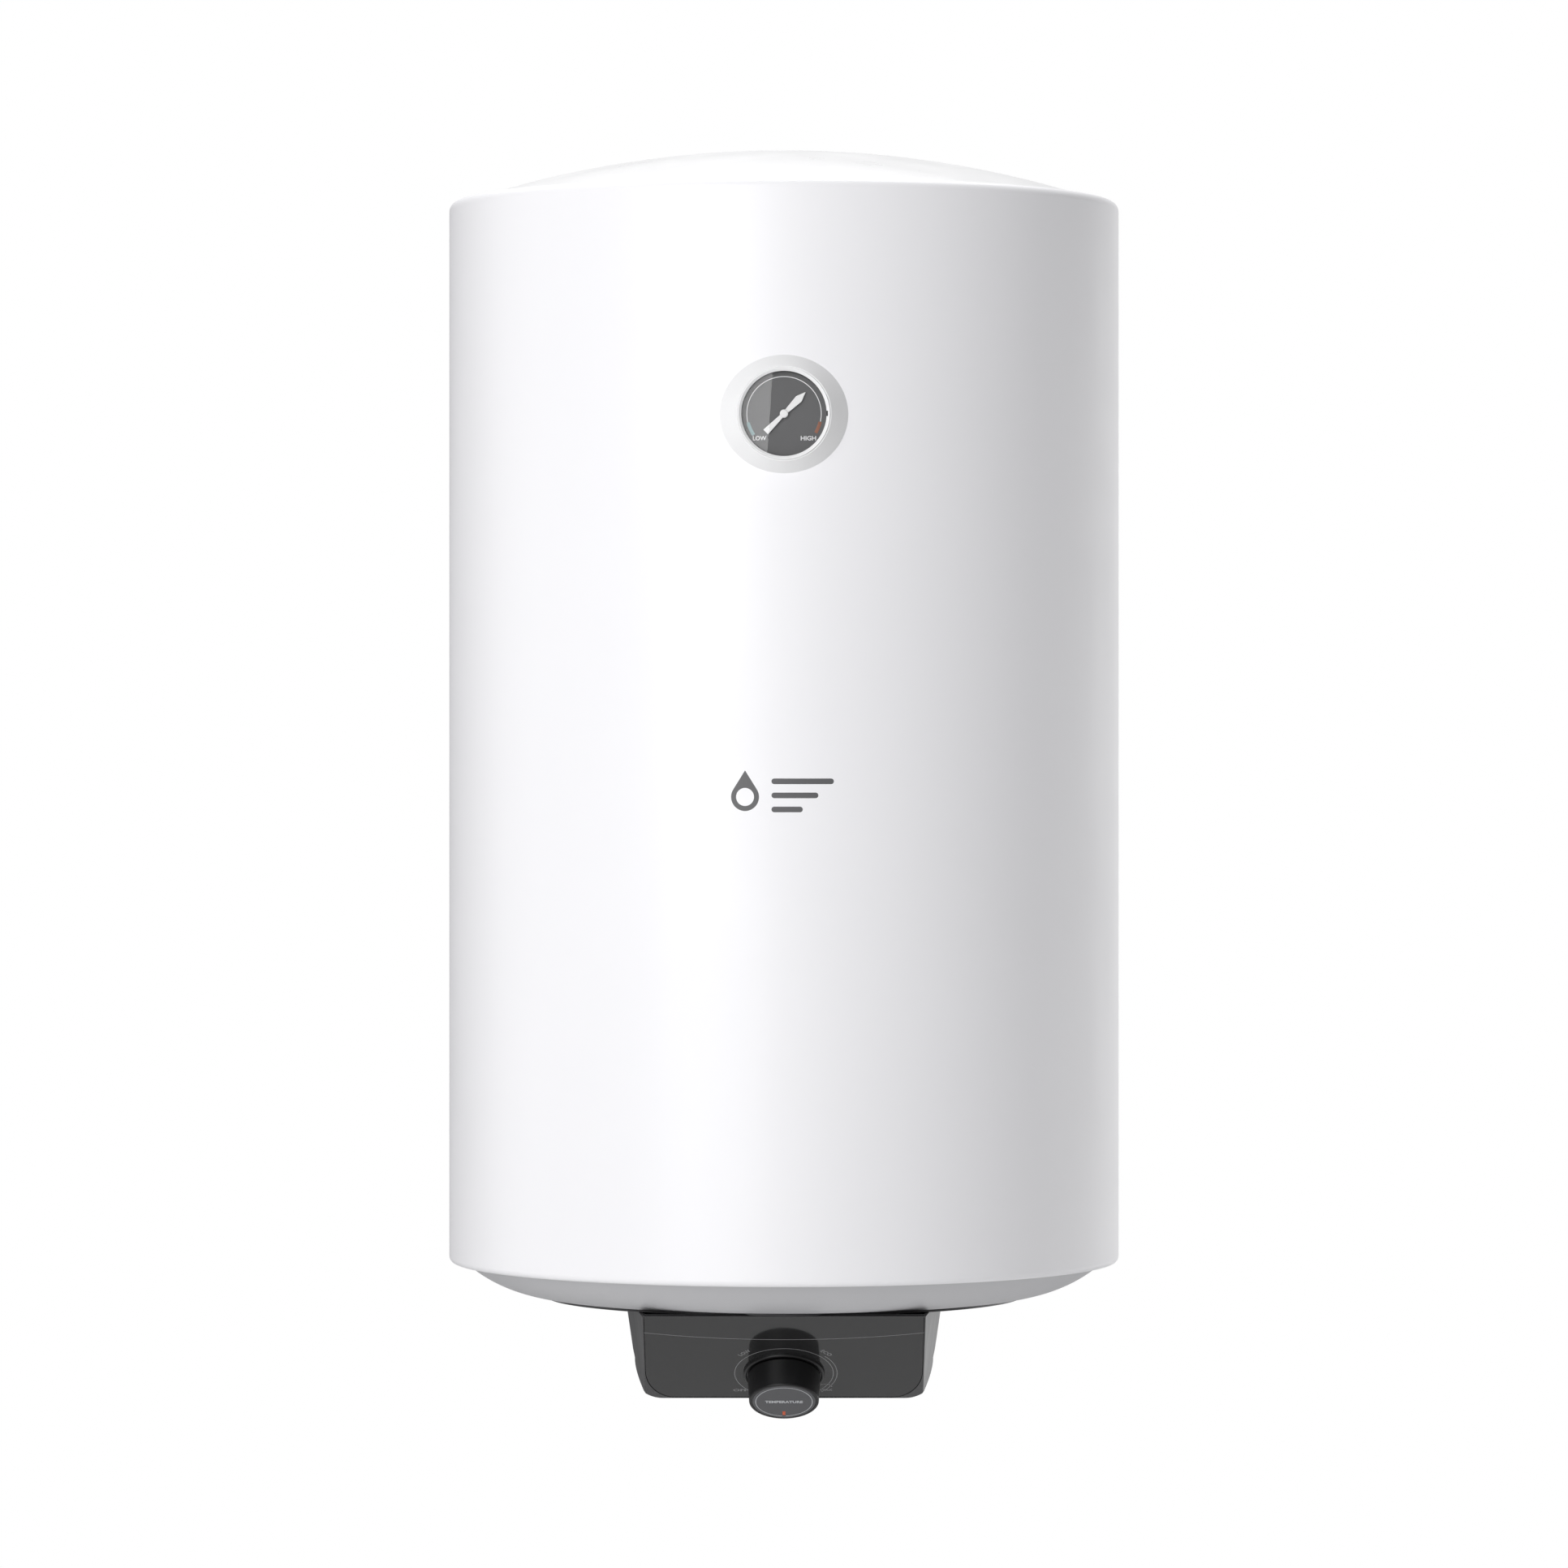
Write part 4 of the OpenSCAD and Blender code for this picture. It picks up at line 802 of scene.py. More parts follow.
def build_seam():
    """Lock seam down the casing's back, between the two rims."""
    half_w = 4.5
    thick = 0.7
    sink = 0.15
    margin = 3
    half_h = (RIM_TOP - RIM_BOTTOM) / 2 - TOP_RIM_R - margin
    back = place_at((0, AXIS_Y + CASING_R - sink, (RIM_TOP + RIM_BOTTOM) / 2), (-1, 0, 0), (0, 0, 1))
    seam = plate("casing_seam", [block_outline(-half_w, -half_h, half_w, half_h, 1)], thick, 0.3,
                 raised(back, thick))
    dress(seam, M_PAINT, "heater", "white_paint")


def build_top_cap():
    """White domed cap with its flange under the casing's upper lip."""
    edge = math.degrees(math.asin(DOME_R / DOME_SPHERE_R))
    short_of_edge = 0.997
    rim = CASING_R - TOP_RIM_R - FIT
    flange = RIM_TOP - SHEET
    outline = arc(0, DOME_CENTRE, DOME_SPHERE_R, 90, 90 - edge * short_of_edge, 40)
    outline += [(DOME_R - 0.1, RIM_TOP - 0.15), (DOME_R, flange), (rim, flange), (rim, flange - CAP_T)]
    outline += [(DOME_R - CAP_T, flange - CAP_T)]
    inner_edge = math.degrees(math.asin((DOME_R - CAP_T) / (DOME_SPHERE_R - CAP_T)))
    outline += arc(0, DOME_CENTRE, DOME_SPHERE_R - CAP_T, 90 - inner_edge, 90, 24)
    cap = turned("dome_cap", outline, steps=256)
    dress(cap, M_WHITE, "heater", "white_plastic", "top_cap")


def pipe_cutters(low, high):
    """Round holes for the two pipe collars."""
    cutters = []
    for side in (-1, 1):
        cutters.append(rod(COLLAR_R, low, high, Matrix.Translation((side * PIPE_X, PIPE_Y, 0))))
    return cutters


def build_dish():
    """Curved grey cap between the casing's lower rim and the disc."""
    reach = DISH_FLAT_R + DISH_RUN
    end = -math.degrees(math.acos(DISH_RUN / DISH_ARC_R))
    flange = RIM_BOTTOM + SHEET
    rim = CASING_R - BOTTOM_RIM_R - FIT
    ledge = DISC_TOP
    service_r = 107
    step_r = DISC_STEP_R + 2 * FIT
    outline = arc(DISH_FLAT_R, DISH_CENTRE, DISH_ARC_R, -90, end, 20)
    outline += [(reach, flange), (rim, flange), (rim, flange + CAP_T), (reach - CAP_T, flange + CAP_T)]
    outline += arc(DISH_FLAT_R, DISH_CENTRE, DISH_ARC_R - CAP_T, end, -90, 16)
    outline += [(DISH_FLAT_R, ledge + CAP_T), (service_r, ledge + CAP_T), (service_r, ledge)]
    outline += [(step_r, ledge), (step_r, DISH_FLAT)]
    dish = turned("dish_cap", outline, steps=256)
    cut_away(dish, pipe_cutters(DISC_BOTTOM - 1, RIM_BOTTOM))
    dress(dish, M_GREY, "heater", "grey_plastic", "bottom_cap")


def build_disc():
    """Dark disc under the dish, with its turned-over edge."""
    edge_top = DISC_BOTTOM + DISC_EDGE
    outline = softened([
        (0, DISC_BOTTOM, 0), (DISC_R, DISC_BOTTOM, 0.6), (DISC_R, edge_top, 0.3),
        (DISC_STEP_R, edge_top, 0), (DISC_STEP_R, DISC_TOP, 0), (0, DISC_TOP, 0)
    ])
    disc = turned("base_plate", outline, steps=256)
    low = DISC_BOTTOM - 1
    high = DISC_TOP + 1
    forward = 10
    wiring = rod(COVER_BACK - COVER_T, low, high, Matrix.Translation((0, AXIS_Y - forward, 0)), 96)
    cut_away(disc, pipe_cutters(low, high) + [wiring])
    dress(disc, M_DARK, "heater", "dark_plastic", "base_disc")


# ---- Control box ----

def front_half(drop, inset):
    """Half width of the box seen from the front, at a drop below the disc."""
    foot = COVER_FOOT - inset
    corner = PANEL_CORNER_R - inset
    lean = math.atan(COVER_FLARE)
    corner_x = COVER_HALF - inset - foot * COVER_FLARE - corner * math.tan(math.pi / 4 - lean / 2)
    below = drop - (foot - corner)
    if below > -corner * math.sin(lean):
        return corner_x + math.sqrt(max(corner ** 2 - below ** 2, 0))
    return COVER_HALF - inset - drop * COVER_FLARE


def box_ring(drop, inset):
    """Outline of the box seen from above, at a drop below the disc: one half mirrored.
    It runs from the front out to the flared side, along it, and round the back corner."""
    foot = COVER_FOOT - inset
    wall = 0 if inset == 0 else (PANEL_T + BORDER_STEP + COVER_T) / math.sin(TILT)
    front = -DISC_R + drop / math.tan(TILT) + wall
    edge_r = COVER_EDGE_R - inset
    below = drop - (foot - edge_r)
    back = COVER_BACK - inset
    if below > 0:
        back += math.sqrt(max(edge_r ** 2 - below ** 2, 0)) - edge_r
    limit = front_half(drop, inset)
    plan_r = COVER_PLAN_R - inset
    plan_x = COVER_HALF + 1 - inset - plan_r
    plan_y = COVER_BACK - inset - plan_r
    turn = math.acos(min((limit - plan_x) / plan_r, 1))
    side_end = min(plan_y + plan_r * math.sin(turn), back)
    start = PANEL_HALF - inset + ((front + DISC_R) * math.sin(TILT) - drop * math.cos(TILT)) * COVER_FLARE
    bend = front + max(limit - start, 0) / COVER_FLARE / math.sin(TILT)
    steps = 12
    half = [(0, front)]
    first_x = min(start, limit)
    for step in range(steps + 1):
        share = step / steps
        half.append((first_x + (limit - first_x) * share, front + (bend - front) * share))
    for step in range(1, steps + 1):
        half.append((limit, bend + (side_end - bend) * step / steps))
    for x, y in arc(plan_x, plan_y, plan_r, math.degrees(turn), 90, 14)[1:]:
        half.append((x, min(y, back)))
    ring = half + [(0, back)] + [(-x, y) for x, y in reversed(half[1:])]
    return [(x, y, DISC_BOTTOM - drop) for x, y in ring]


def box_block(name, inset, top):
    """Solid of the box, shrunk by an inset, from a height above the disc down to its floor."""
    foot = COVER_FOOT - inset
    corner = PANEL_CORNER_R - inset
    drops = [-top]
    drops += [(foot - corner) * step / 6 for step in range(1, 6)]
    drops += [foot - corner + corner * math.sin(math.radians(angle)) for angle in range(-5, 91, 5)]
    return lofted(name, [box_ring(drop, inset) for drop in drops], ON_AXIS, 28)


def panel_outline(inset):
    """Panel's outline on the slope: straight head, and lower corners that look round from the front."""
    rise = math.sin(TILT)
    corner = PANEL_CORNER_R - inset
    half = PANEL_HALF - inset
    head = KNOB_PLACE - inset
    foot_drop = COVER_FOOT - inset * rise
    points = [(half, head), (-half, head)]
    for side, first, last in ((-1, 180, 270), (1, 270, 360)):
        for x, y in arc(side * (half - corner), -foot_drop + corner, corner, first, last, 14):
            points.append((x, KNOB_PLACE + y / rise))
    return points


def build_cover():
    """Dark cover of the control box, hollow, with the seat of its glossy panel."""
    cover = box_block("box_cover", 0, 0)
    hollow = box_block("hollow", COVER_T, 1)
    proud = 3
    seat = plate("seat", [panel_outline(BORDER)], PANEL_T + BORDER_STEP + proud, SQUARE_EDGE,
                 raised(ON_PANEL, proud))
    bush = rod(BUSH_HOLE_R, -10, proud, ON_PANEL)
    gland_hole = rod(8, -8, proud, ON_BOX_BACK)
    cut_away(cover, [hollow, seat, bush, gland_hole], 28)
    dress(cover, M_DARK, "heater", "dark_plastic", "control_cover")


def build_panel():
    """Glossy panel, a little below the cover's border, with a hole for the knob's spindle."""
    gap = 0.2
    panel = plate("glossy_panel", [panel_outline(BORDER + gap), circle(BUSH_HOLE_R)], PANEL_T, 0.35,
                  raised(ON_PANEL, -BORDER_STEP))
    dress(panel, M_PANEL, "heater", "gloss_dark_plastic", "control_panel")


def on_dial_angle(place, angle, radius, upright=False):
    """Local frame on a round face, at a clockwise angle from straight up and a radius.
    It turns with the angle unless it is upright."""
    spot = (radius * math.sin(math.radians(angle)), radius * math.cos(math.radians(angle)), 0)
    turn = 0 if upright else -math.radians(angle)
    return place @ Matrix.Translation(spot) @ Matrix.Rotation(turn, 4, "Z")


def build_panel_scale_and_reflection():
    """Scale round the knob, with its words, and a painted reflection above it: a pale curved line of print
    across the panel where a reflected edge falls.
    """
    face = raised(ON_PANEL, -BORDER_STEP)
    line_w = 0.55
    stop = 135
    letter_h = 3.1
    reflection_line_r = 470
    reflection_line_up = 44.3
    reflection_line_centre = face @ Matrix.Translation((0, reflection_line_r + reflection_line_up, 0))
    parts = [
        band("arc", 32.5, line_w, -stop, stop, face),
        # painted reflection: this pale arc of grey print stands in for a reflected edge on the glossy panel
        band("arc", reflection_line_r, 0.5, 168.8, 191.2, reflection_line_centre),
        band("arc", 35, line_w, 50, stop, face),
        lettering("word", "LOW", 9.6, letter_h, on_dial_angle(face, -44, 37.4)),
        lettering("word", "ECO", 9.2, letter_h, on_dial_angle(face, 46, 38.6)),
        lettering("word", "OFF", 9.6, letter_h, on_dial_angle(face, -128, 36.5, True)),
        lettering("word", "MAX", 7.6, 2.6, on_dial_angle(face, 128, 35.8, True)),
        band("ring", 4.6, 0.5, -110, 80, on_dial_angle(face, 125, 33, True)),
    ]
    dress(merged("panel_scale_and_reflection", parts), M_GREY_PRINT_AND_REFLECTION, "heater", "needle_white")


# ---- Knob ----

KNOB_BASE = 2.4
KNOB_TOP = 21.3
FACE_R = 21
FACE_T = 0.8
FACE_SEAT = KNOB_TOP - FACE_T


def build_trim_ring():
    """Black ring round the knob's foot: a raised rim and a lower floor inside it."""
    hole_r = 12
    outer = 26.7
    height = 2
    floor = 1
    rim_w = 1.7
    outline = softened([
        (hole_r, -BORDER_STEP, 0), (outer, -BORDER_STEP, 0), (outer, height, 1.1),
        (outer - rim_w, height, 0.4), (outer - rim_w - 0.2, floor, 0.3), (hole_r, floor, 0)
    ])
    ring = turned("trim_ring", outline, ON_PANEL, 128)
    dress(ring, M_KNOB, "heater", "dark_plastic", "knob_trim_ring")


def build_knob():
    """Black hollow knob with a hub inside and a seat for its face disc."""
    hub_bore_r = 3
    hub_r = 6
    bore_top = 16
    roof = 18
    outline = softened([
        (0, bore_top, 0), (hub_bore_r, bore_top, 0), (hub_bore_r, KNOB_BASE, 0), (hub_r, KNOB_BASE, 0),
        (hub_r, roof, 0.5), (20.8, roof, 1), (21.6, KNOB_BASE, 0), (24, KNOB_BASE, 0.5),
        (22.9, KNOB_TOP, 0.9), (FACE_R, KNOB_TOP, 0.2), (FACE_R, FACE_SEAT, 0), (0, FACE_SEAT, 0)
    ])
    knob = turned("knob_body", outline, ON_PANEL, 192)
    dress(knob, M_KNOB, "control_knob", "dark_plastic", "knob")


def build_knob_face():
    """Grey face disc with the orange pointer let into it."""
    edge_r = FACE_R - 0.15
    outline = softened([
        (0, FACE_SEAT, 0), (edge_r, FACE_SEAT, 0), (edge_r, KNOB_TOP - 0.05, 0.25), (0, KNOB_TOP, 0)
    ])
    face = turned("knob_disc", outline, ON_PANEL, 192)
    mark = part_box("knob_mark")
    half_w = (mark[1].x - mark[0].x) / MM / 2
    foot = -17.6
    head = -12.6
    slot_shape = plate("slot", [block_outline(-half_w, foot, half_w, head, 0.2)], FACE_T + 2, SQUARE_EDGE,
                       raised(ON_PANEL, KNOB_TOP + 1))
    cut_away(face, [slot_shape])
    dress(face, M_FACE, "control_knob", "knob_face_grey", "knob_face")

    half_w -= 0.05
    outline = block_outline(-half_w, foot + 0.1, half_w, head - 0.1, 0.2)
    pointer = plate("knob_pointer", [outline], FACE_T, 0.12,
                    raised(ON_PANEL, KNOB_TOP))
    dress(pointer, M_ORANGE, "control_knob", "orange_plastic", "knob_mark")


def build_knob_print():
    """Thin ring and the word across the knob's face."""
    flat = raised(ON_PANEL, KNOB_TOP - 0.01)
    parts = [
        band("ring", 18.6, 0.45, -176, 176, flat, 160),
        lettering("word", "TEMPERATURE", 24.8, 3.2, flat, 0.03),
    ]
    dress(merged("knob_print", parts), M_INK_PALE, "control_knob", "needle_white")


# ---- Thermometer ----

def casing_depth(x):
    """How far the casing's front falls back at a distance from its middle line."""
    return math.sqrt(CASING_R ** 2 - x ** 2) - CASING_R


def build_gauge_collar():
    """White flared collar whose foot follows the round casing."""
    brow_r = BEZEL_R + 0.9
    brow = BEZEL_OUT - 1
    spread = math.tan(math.radians(40))

    def on_casing(radius, height, angle):
        foot = height < 0
        if not foot:
            return radius, height
        level = 0
        for _ in range(12):
            reach = brow_r + (brow - level) * spread
            level = casing_depth(reach * math.cos(angle))
        share = -height
        reach -= share * 2.4
        return reach, casing_depth(reach * math.cos(angle)) - 0.4 * share

    bore = BEZEL_R + 0.1
    outline = [(bore, brow - 0.15), (BEZEL_R + 0.3, brow), (brow_r - 0.1, brow), (brow_r + 0.25, brow - 0.3)]
    outline += [(1, -0.001), (1, -1), (bore, brow - 3)]
    collar = turned("gauge_surround", outline, ON_GAUGE, 192, 40, on_casing)
    dress(collar, M_SHADED_COLLAR, "heater", "white_plastic", "gauge_collar")


def build_bezel():
    """White ring round the dial, with a skirt behind it and a notch at its right."""
    front = BEZEL_OUT
    bore = DIAL_R + 0.1
    outline = softened([
        (bore, front - 1.8, 0), (BEZEL_R, front - 1.8, 0), (BEZEL_R, front, 0.4),
        (BEZEL_R - 0.6, front, 0.3), (bore, front - 1.4, 0.15)
    ], 6)
    bezel = turned("gauge_ring", outline, ON_GAUGE, 192)
    skirt_bore = BEZEL_R - 1
    skirt_back = front - 5.8
    skirt_front = front - 1.7
    skirt = turned("skirt", [(skirt_bore, skirt_back), (BEZEL_R, skirt_back), (BEZEL_R, skirt_front),
                             (skirt_bore, skirt_front)], ON_GAUGE, 192)
    notch_half = 1.7
    notch = bar((DIAL_R - 0.5, -notch_half, front - 2), (DIAL_R + 1, notch_half, front + 0.5), ON_GAUGE)
    cut_away(bezel, [notch])
    dress(merged("gauge_ring", [bezel, skirt]), M_WHITE, "heater", "white_plastic", "gauge_bezel")


def build_window():
    """Clear window inside the bezel, slightly domed."""
    back = BEZEL_OUT - 3
    rim_t = 0.3
    crown = 1.9
    rim = BEZEL_R - 1.2
    sphere_r = (rim ** 2 + crown ** 2) / (2 * crown)
    edge = math.degrees(math.asin(rim / sphere_r))
    outline = arc(0, back + rim_t + crown - sphere_r, sphere_r, 90, 90 - edge, 10)
    outline += [(rim, back), (0, back)]
    lens = turned("gauge_window", outline, ON_GAUGE, 128)
    dress(lens, M_LENS, "heater", "clear_lens", "gauge_lens")


def build_dial():
    """Grey dial with a raised rim and a bore for the pointer's arbor."""
    bore = 0.65
    back = DIAL_FACE - 0.6
    outline = softened([
        (bore, back, 0), (DIAL_R, back, 0), (DIAL_R, DIAL_FACE + 0.3, 0.1),
        (DIAL_R - 0.7, DIAL_FACE, 0.1), (bore, DIAL_FACE, 0)
    ])
    dial = turned("dial_plate", outline, ON_GAUGE, 160)
    dress(dial, M_DIAL, "heater", "dial_grey", "gauge_dial")


def build_dial_print():
    """White scale with its two words, and its cool and warm ends."""
    face = raised(ON_GAUGE, DIAL_FACE)
    word_at = 15.6
    word_h = 2.9
    white = [
        band("arc", 23.8, 0.5, -103, 102, face, 120),
        lettering("word", "LOW", 8.6, word_h, face @ Matrix.Translation((-word_at, -word_at, 0))),
        lettering("word", "HIGH", 9.8, word_h, face @ Matrix.Translation((word_at, -word_at, 0))),
    ]
    dress(merged("dial_print", white), M_INK_WHITE, "heater", "needle_white")
    end_r = 23.6
    end_w = 2.2
    cool = band("dial_cool_band", end_r, end_w, -125, -103.5, face)
    dress(cool, M_INK_COOL, "heater", "blue_plastic")
    warm = band("dial_warm_band", end_r, end_w, 102.5, 121, face)
    dress(warm, M_INK_WARM, "heater", "red_plastic")


def build_needle():
    """White pointer: a tapered blade and tail, with a domed hub."""
    angle = 45
    tip = 19.6
    tail = 16.6
    tail_half = 2.15
    waist_half = 1.1
    head_half = 2.5
    head_at = 13.4
    thick = 0.6
    blade = [
        (-tail_half, -tail, 0.15), (tail_half, -tail, 0.15), (waist_half, 0, 0.3), (head_half, head_at, 0.3),
        (0, tip, 0.12), (-head_half, head_at, 0.3), (-waist_half, 0, 0.3)
    ]
    turn = ON_GAUGE @ Matrix.Rotation(-math.radians(angle), 4, "Z")
    arm = plate("arm", [softened(blade)], thick, 0.15, raised(turn, NEEDLE_BACK + thick))
    hub_r = 2.7
    hub_front = NEEDLE_BACK + 1.8
    hub = turned("hub", softened([(0, NEEDLE_BACK, 0), (hub_r, NEEDLE_BACK, 0), (hub_r, hub_front, 0.7),
                                  (0, hub_front, 0)], 6), ON_GAUGE, 48)
    needle = merged("gauge_pointer", [arm, hub])
    dress(needle, M_NEEDLE, "needle", "needle_white", "gauge_needle")


# ---- Mark on the casing ----

def wrapped(piece, height):
    """Bends a flat upright print onto the round casing, its middle at a height."""
    bm = bmesh.new()
    bm.from_mesh(piece.data)
    bmesh.ops.triangulate(bm, faces=bm.faces)
    longest = 2.5 * MM
    for _ in range(5):
        long_edges = [edge for edge in bm.edges if edge.calc_length() > longest]
        if not long_edges:
            break
        bmesh.ops.subdivide_edges(bm, edges=long_edges, cuts=1, use_grid_fill=False)
        bmesh.ops.triangulate(bm, faces=bm.faces)
    for vertex in bm.verts:
        out = CASING_R * MM + vertex.co.y
        angle = vertex.co.x / (CASING_R * MM)
        vertex.co.x = out * math.sin(angle)
        vertex.co.y = AXIS_Y * MM - out * math.cos(angle)
        vertex.co.z += height * MM
    bm.to_mesh(piece.data)
    bm.free()
    piece.data.shade_smooth()
    return piece


def build_casing_mark():
    """Plain drop and three level bars, a generic mark in place of a maker's one."""
    flat = Matrix(((1, 0, 0, 0), (0, 0, 1, 0), (0, 1, 0, 0), (0, 0, 0, 1)))
    drop_r = 9
    wall = 3.2
    tip = 17
    drop_x = -25
    drop_y = -3
    reach = math.degrees(math.asin(drop_r / tip))
    drop = arc(0, 0, drop_r, reach, -180 - reach, 40) + [(0, tip)]
    drop = [(x + drop_x, y + drop_y) for x, y in drop]
    hollow = circle(drop_r - wall, drop_x, drop_y, 36)
    parts = [printed_shape("drop", [drop, hollow], flat)]
    bar_x = -8
    half_h = 1.8
    for index, length in enumerate((40, 30, 20)):
        level = 7 - index * 9
        level_bar = block_outline(bar_x, level - half_h, bar_x + length, level + half_h, 1.7)
        parts.append(printed_shape("level", [level_bar], flat))
    mark = merged("casing_mark", parts)
    wrapped(mark, MARK_Z)
    dress(mark, M_INK_DARK, "heater", "dark_plastic")


# ---- Water pipes ----

def build_pipe(name, node, side, collar_node, collar_name, collar_material, slot):
    """Pipe with a real thread at its lower end, and its coloured collar."""
    at = Matrix.Translation((side * PIPE_X, PIPE_Y, 0))
    pipe_top = node_box(node)[1].z
    bore = PIPE_R - 3
    pitch = 1.814
    thread_depth = 1.0
    thread_top = PIPE_BOTTOM + THREAD_LEN
    outer = 10.48

    def thread(radius, height, angle):
        if radius < outer - 0.5 or height > thread_top + 0.01 or height < PIPE_BOTTOM + 0.6:
            return radius, height
        phase = (height / pitch - angle / (2 * math.pi)) % 1
        fade = min((thread_top - height) / pitch, 1)
        return radius - thread_depth * abs(2 * phase - 1) * fade, height

    outline = [(bore, PIPE_BOTTOM + 0.8), (bore + 0.8, PIPE_BOTTOM), (outer - 1.3, PIPE_BOTTOM)]
    rings = int(THREAD_LEN / pitch * 8)
    outline += [(outer, PIPE_BOTTOM + 0.9 + (THREAD_LEN - 0.9) * step / rings) for step in range(rings + 1)]
    outline += [(PIPE_R, thread_top + 0.3), (PIPE_R, pipe_top), (bore, pipe_top)]
    pipe = turned(name, outline, at, 64, 50, thread)
    dress(pipe, M_BRIGHT, "heater", "zinc_steel", node)

    brim = COLLAR_R + 3
    clear = PIPE_R + 0.5
    sleeve = COLLAR_R - 0.1
    foot = DISC_BOTTOM - 1.6
    top = DISC_TOP + 2.4
    outline = softened([
        (clear, foot, 0.5), (brim, foot, 1), (brim, DISC_BOTTOM, 0.2),
        (sleeve, DISC_BOTTOM, 0), (sleeve, top, 0.3), (clear, top, 0.3)
    ])
    collar = turned(collar_name, outline, at, 96)
    dress(collar, collar_material, "heater", slot, collar_node)


# ---- Cord gland ----

def build_gland():
    """Cord gland on the box's back: hexagon base and a domed, ribbed cap."""
    bore = 4.5
    stem_r = 7.9
    stem_back = -10
    hex_r = 11
    hex_h = 6.6
    out = 12

    def hexagon(radius, height, angle):
        if radius < 10 or height < -0.01:
            return radius, height
        flat = (angle % (math.pi / 3)) - math.pi / 6
        return min(radius, hex_r * math.cos(math.pi / 6) / math.cos(flat)), height

    cap_r = 9
    dome_r = 2.5
    bevel = 0.6
    outline = [(bore, stem_back), (stem_r, stem_back), (stem_r, 0), (10.4, 0)]
    outline += [(hex_r, bevel), (hex_r, hex_h - bevel), (10.2, hex_h), (cap_r, hex_h), (cap_r, out - dome_r)]
    outline += arc(cap_r - dome_r, out - dome_r, dome_r, 20, 90, 6)
    outline += [(bore + 0.5, out), (bore, out - 0.5)]
    gland = turned("cord_inlet", outline, ON_BOX_BACK, 96, 30, hexagon)
    ribs = []
    for step in range(12):
        spin = Matrix.Rotation(2 * math.pi * step / 12, 4, "Z")
        ribs.append(bar((8.6, -0.5, hex_h + 0.6), (9.6, 0.5, out - 2.4), ON_BOX_BACK @ spin))
    cut_away(gland, ribs, 30)
    dress(gland, M_BLACK, "heater", "black_plastic", "cord_gland")


# ---- Wall brackets and screws ----

def build_bracket(name, node):
    """Wall plate with two rounded slots, and its two legs into the casing."""
    low, high = node_box(node)
    middle = (low.z + high.z) / 2
    half_w = (high.x - low.x) / 2
    half_h = (high.z - low.z) / 2
    slot_r = 5.25
    slot_half = 11 - slot_r
    loops = [block_outline(-half_w, -half_h, half_w, half_h, 4, 6)]
    for side in (-1, 1):
        slot_x = side * WALL_SLOT_X
        right_end = arc(slot_x + slot_half, 0, slot_r, -90, 90, 12)
        left_end = arc(slot_x - slot_half, 0, slot_r, 90, 270, 12)
        loops.append(right_end + left_end)
    face = place_at((0, high.y, middle), (-1, 0, 0), (0, 0, 1))
    parts = [plate("wall_plate", loops, BRACKET_T, 0.35, face)]
    leg_front = AXIS_Y + 178
    leg_back = -1.6
    for side in (-1, 1):
        profile = softened([(leg_front, -half_h, 0.5), (leg_back, -half_h, 0.5), (leg_back, half_h, 0.5),
                            (leg_front, half_h, 0.5)])
        on_leg = place_at((side * LEG_X + BRACKET_T / 2, 0, middle), (0, 1, 0), (0, 0, 1))
        parts.append(plate("leg", [profile], BRACKET_T, 0.3, on_leg))
    bracket = merged(name, parts)
    tank_r = 198
    tank = rod(tank_r, low.z - 5, high.z + 5, ON_AXIS, 128)
    cut_away(bracket, [tank])
    dress(bracket, M_ZINC, "heater", "zinc_steel", node)


def build_screws():
    """Pan-head screws under the disc and the box, with cross recesses."""
    head_r = 3.6
    head_h = 2
    low, high = node_box("cover_screws")
    posts = node_box("cover_posts")
    reach_x = (high.x - low.x) / 2 - head_r
    post_x = (posts[1].x - posts[0].x) / 2 - 5
    post_y = (posts[1].y + posts[0].y) / 2
    spots = [(x * reach_x, AXIS_Y + y * 58, DISC_BOTTOM) for x in (-1, 1) for y in (-1, 1)]
    spots += [(x * post_x, post_y, cover_low.z) for x in (-1, 1)]
    shank_r = 1.5
    shank = [(0, 0), (shank_r, 0), (shank_r, 9), (0.2, 10), (0, 10)]
    round_r = 1.5
    head = [(0, -head_h)] + arc(head_r - round_r, -head_h + round_r, round_r, -90, 0, 6)
    head += [(head_r, 0), (0, 0)]
    long_half = 2.2
    short_half = 0.4
    recess_foot = -head_h - 1
    recess_top = -head_h + 1.1
    parts = []
    for x, y, z in spots:
        at = Matrix.Translation((x, y, z))
        screw_head = turned("head", head, at, 40)
        recess = []
        for half_x, half_y in ((long_half, short_half), (short_half, long_half)):
            recess.append(bar((-half_x, -half_y, recess_foot), (half_x, half_y, recess_top), at))
        cut_away(screw_head, recess)
        parts += [screw_head, turned("shank", shank, at, 24)]
    dress(merged("pan_screws", parts), M_BRIGHT, "heater", "zinc_steel", "cover_screws")


# ---- Inner nodes that keep their own shape ----

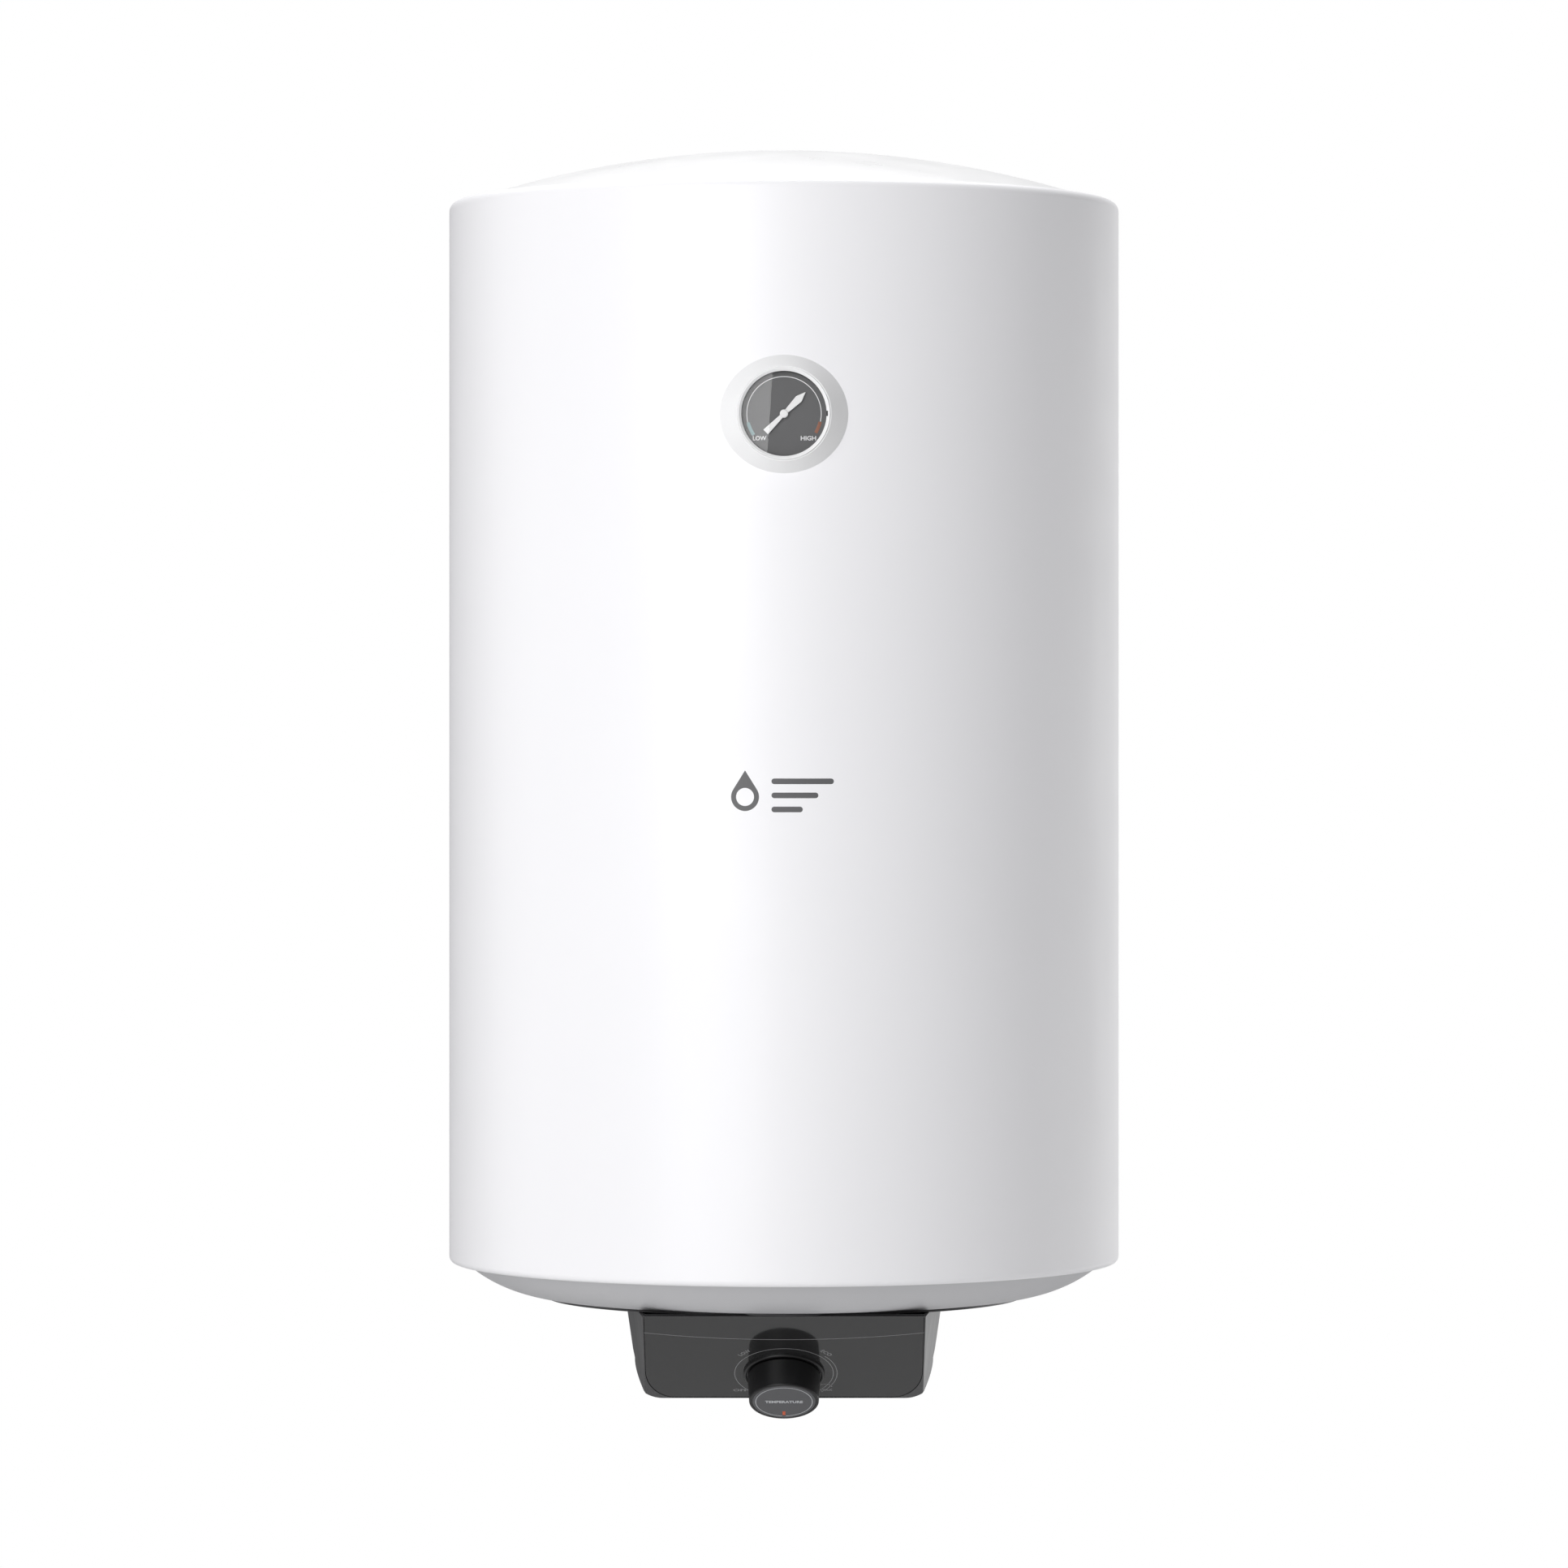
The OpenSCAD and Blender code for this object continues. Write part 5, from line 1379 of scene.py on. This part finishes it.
INNER = {
    M_FOAM: ["insulation"],
    M_ENAMEL: ["tank_barrel", "tank_top_head", "tank_bottom_head", "bracket_pads", "flange_neck"],
    M_BRIGHT: ["flange_studs", "flange_nuts", "flange_plate", "anode_nut", "thermostat_screws",
               "terminal_bracket", "thermostat_spindle"],
    M_RUBBER: ["flange_gasket"],
    M_COPPER: ["heating_element", "sensor_pocket", "thermostat_bulb", "thermostat_capillary",
               "gauge_capillary", "gauge_bulb"],
    M_BRASS: ["element_link", "terminal_screws", "earth_screw", "gauge_arbor", "gauge_movement"],
    M_MAGNESIUM: ["anode_rod"],
    M_CREAM: ["inlet_diffuser", "thermostat", "terminal_block"],
    M_PHENOLIC: ["safety_cutout"],
    M_RED: ["reset_button"],
    M_BROWN: ["live_wires"],
    M_SLEEVE_BLUE: ["neutral_wire"],
    M_SLEEVE_EARTH: ["earth_wire"],
    M_BLACK: ["gland_nut", "gauge_case"],
    M_DARK: ["cover_posts"],
}


def dress_inner_nodes():
    """Finishes for the nodes inside the heater."""
    for material, names in INNER.items():
        for name in names:
            mesh = frame["nodes"][name].data
            mesh.materials.clear()
            mesh.materials.append(material)


# ---- Floor, light and camera ----

def build_floor():
    """Pale round floor that fades out at its edge and is clear from underneath."""
    bm = bmesh.new()
    radius = 3.2
    bmesh.ops.create_circle(bm, cap_ends=True, segments=96, radius=radius)
    mesh = bpy.data.meshes.new("floor")
    bm.to_mesh(mesh)
    bm.free()
    floor = bpy.data.objects.new("floor", mesh)
    floor.location = (0, AXIS_Y * MM, FLOOR_Z)
    bpy.context.scene.collection.objects.link(floor)
    material, tree, shader = new_material("pale_floor")
    tone = group_node(tree, GRAIN, Scale=40.0)["Tone"]
    face = blend_colour(tree, tone, (0.8, 0.8, 0.8, 1), (0.84, 0.84, 0.84, 1))
    tree.links.new(face, shader.inputs["Base Color"])
    shader.inputs["Roughness"].default_value = 0.7
    place = tree.nodes.new("ShaderNodeTexCoord").outputs["Object"]
    reach = put(tree, "ShaderNodeVectorMath", {"operation": "LENGTH"}, i0=place).outputs["Value"]
    fade = put(tree, "ShaderNodeMapRange", {"interpolation_type": "SMOOTHSTEP"}, Value=reach,
               From_Min=radius * 0.45, From_Max=radius * 0.98, To_Min=1.0, To_Max=0.0).outputs[0]
    back = tree.nodes.new("ShaderNodeNewGeometry").outputs["Backfacing"]
    seen = math_node(tree, "MULTIPLY", fade, math_node(tree, "SUBTRACT", 1.0, back))
    tree.links.new(seen, shader.inputs["Alpha"])
    mesh.materials.append(material)


def softbox(name, azimuth, height, distance, width, tall, power):
    """Soft panel of light aimed at the heater; azimuth 0 is straight in front, positive to the right."""
    lamp = bpy.data.lights.new(name, "AREA")
    lamp.shape = "RECTANGLE"
    lamp.size = width
    lamp.size_y = tall
    lamp.energy = power
    light = bpy.data.objects.new(name, lamp)
    middle = Vector((0, AXIS_Y * MM, -0.19))
    angle = math.radians(azimuth)
    light.location = middle + Vector((math.sin(angle) * distance, -math.cos(angle) * distance, height))
    light.rotation_euler = (middle - light.location).to_track_quat("-Z", "Y").to_euler()
    light.visible_camera = False
    bpy.context.scene.collection.objects.link(light)


def build_light():
    """White surroundings for the camera, grey ones for the surfaces, and six softboxes."""
    scene = bpy.context.scene
    scene.view_settings.view_transform = "Standard"
    world = bpy.data.worlds.new("studio")
    scene.world = world
    world.use_nodes = True
    tree = world.node_tree
    background = tree.nodes["Background"]
    seen = tree.nodes.new("ShaderNodeLightPath").outputs["Is Camera Ray"]
    room = (0.3, 0.3, 0.303, 1)
    tree.links.new(blend_colour(tree, seen, room, (1, 1, 1, 1)), background.inputs["Color"])
    softbox("key_softbox", -23, 0.6, 3.0, 2.0, 2.6, 74)
    softbox("left_fill", -100, 0.0, 3.0, 1.6, 2.4, 12)
    softbox("right_rim", 150, 0.0, 3.0, 1.8, 2.4, 13)
    softbox("right_side", 118, -0.6, 3.0, 2.4, 2.4, 24)
    softbox("right_fill", 70, -2.4, 1.6, 1.2, 1.2, 22)
    softbox("top_softbox", 180, 2.5, 0.8, 2.0, 2.0, 66)


def build_camera():
    """Camera level with the heater's middle, far enough away for a long lens."""
    camera = bpy.data.cameras.new("camera")
    camera.sensor_width = 36
    camera.lens = 154.85
    camera.shift_y = -0.0331
    camera.clip_end = 50
    eye = bpy.data.objects.new("camera", camera)
    distance = 4.54
    level = -0.1905
    eye.location = (0, AXIS_Y * MM - distance, level)
    eye.rotation_euler = (math.pi / 2, 0, 0)
    bpy.context.scene.collection.objects.link(eye)
    bpy.context.scene.camera = eye


build_camera()
build_light()
build_floor()
build_casing()
build_seam()
build_top_cap()
build_dish()
build_disc()
build_cover()
build_panel()
build_panel_scale_and_reflection()
build_trim_ring()
build_knob()
build_knob_face()
build_knob_print()
build_gauge_collar()
build_bezel()
build_window()
build_dial()
build_dial_print()
build_needle()
build_casing_mark()
build_pipe("cold_pipe", "cold_inlet_pipe", 1, "cold_collar", "blue_collar", M_BLUE, "blue_plastic")
build_pipe("hot_pipe", "hot_outlet_pipe", -1, "hot_collar", "red_collar", M_RED, "red_plastic")
build_gland()
build_bracket("upper_bracket", "upper_wall_bracket")
build_bracket("lower_bracket", "lower_wall_bracket")
build_screws()
dress_inner_nodes()
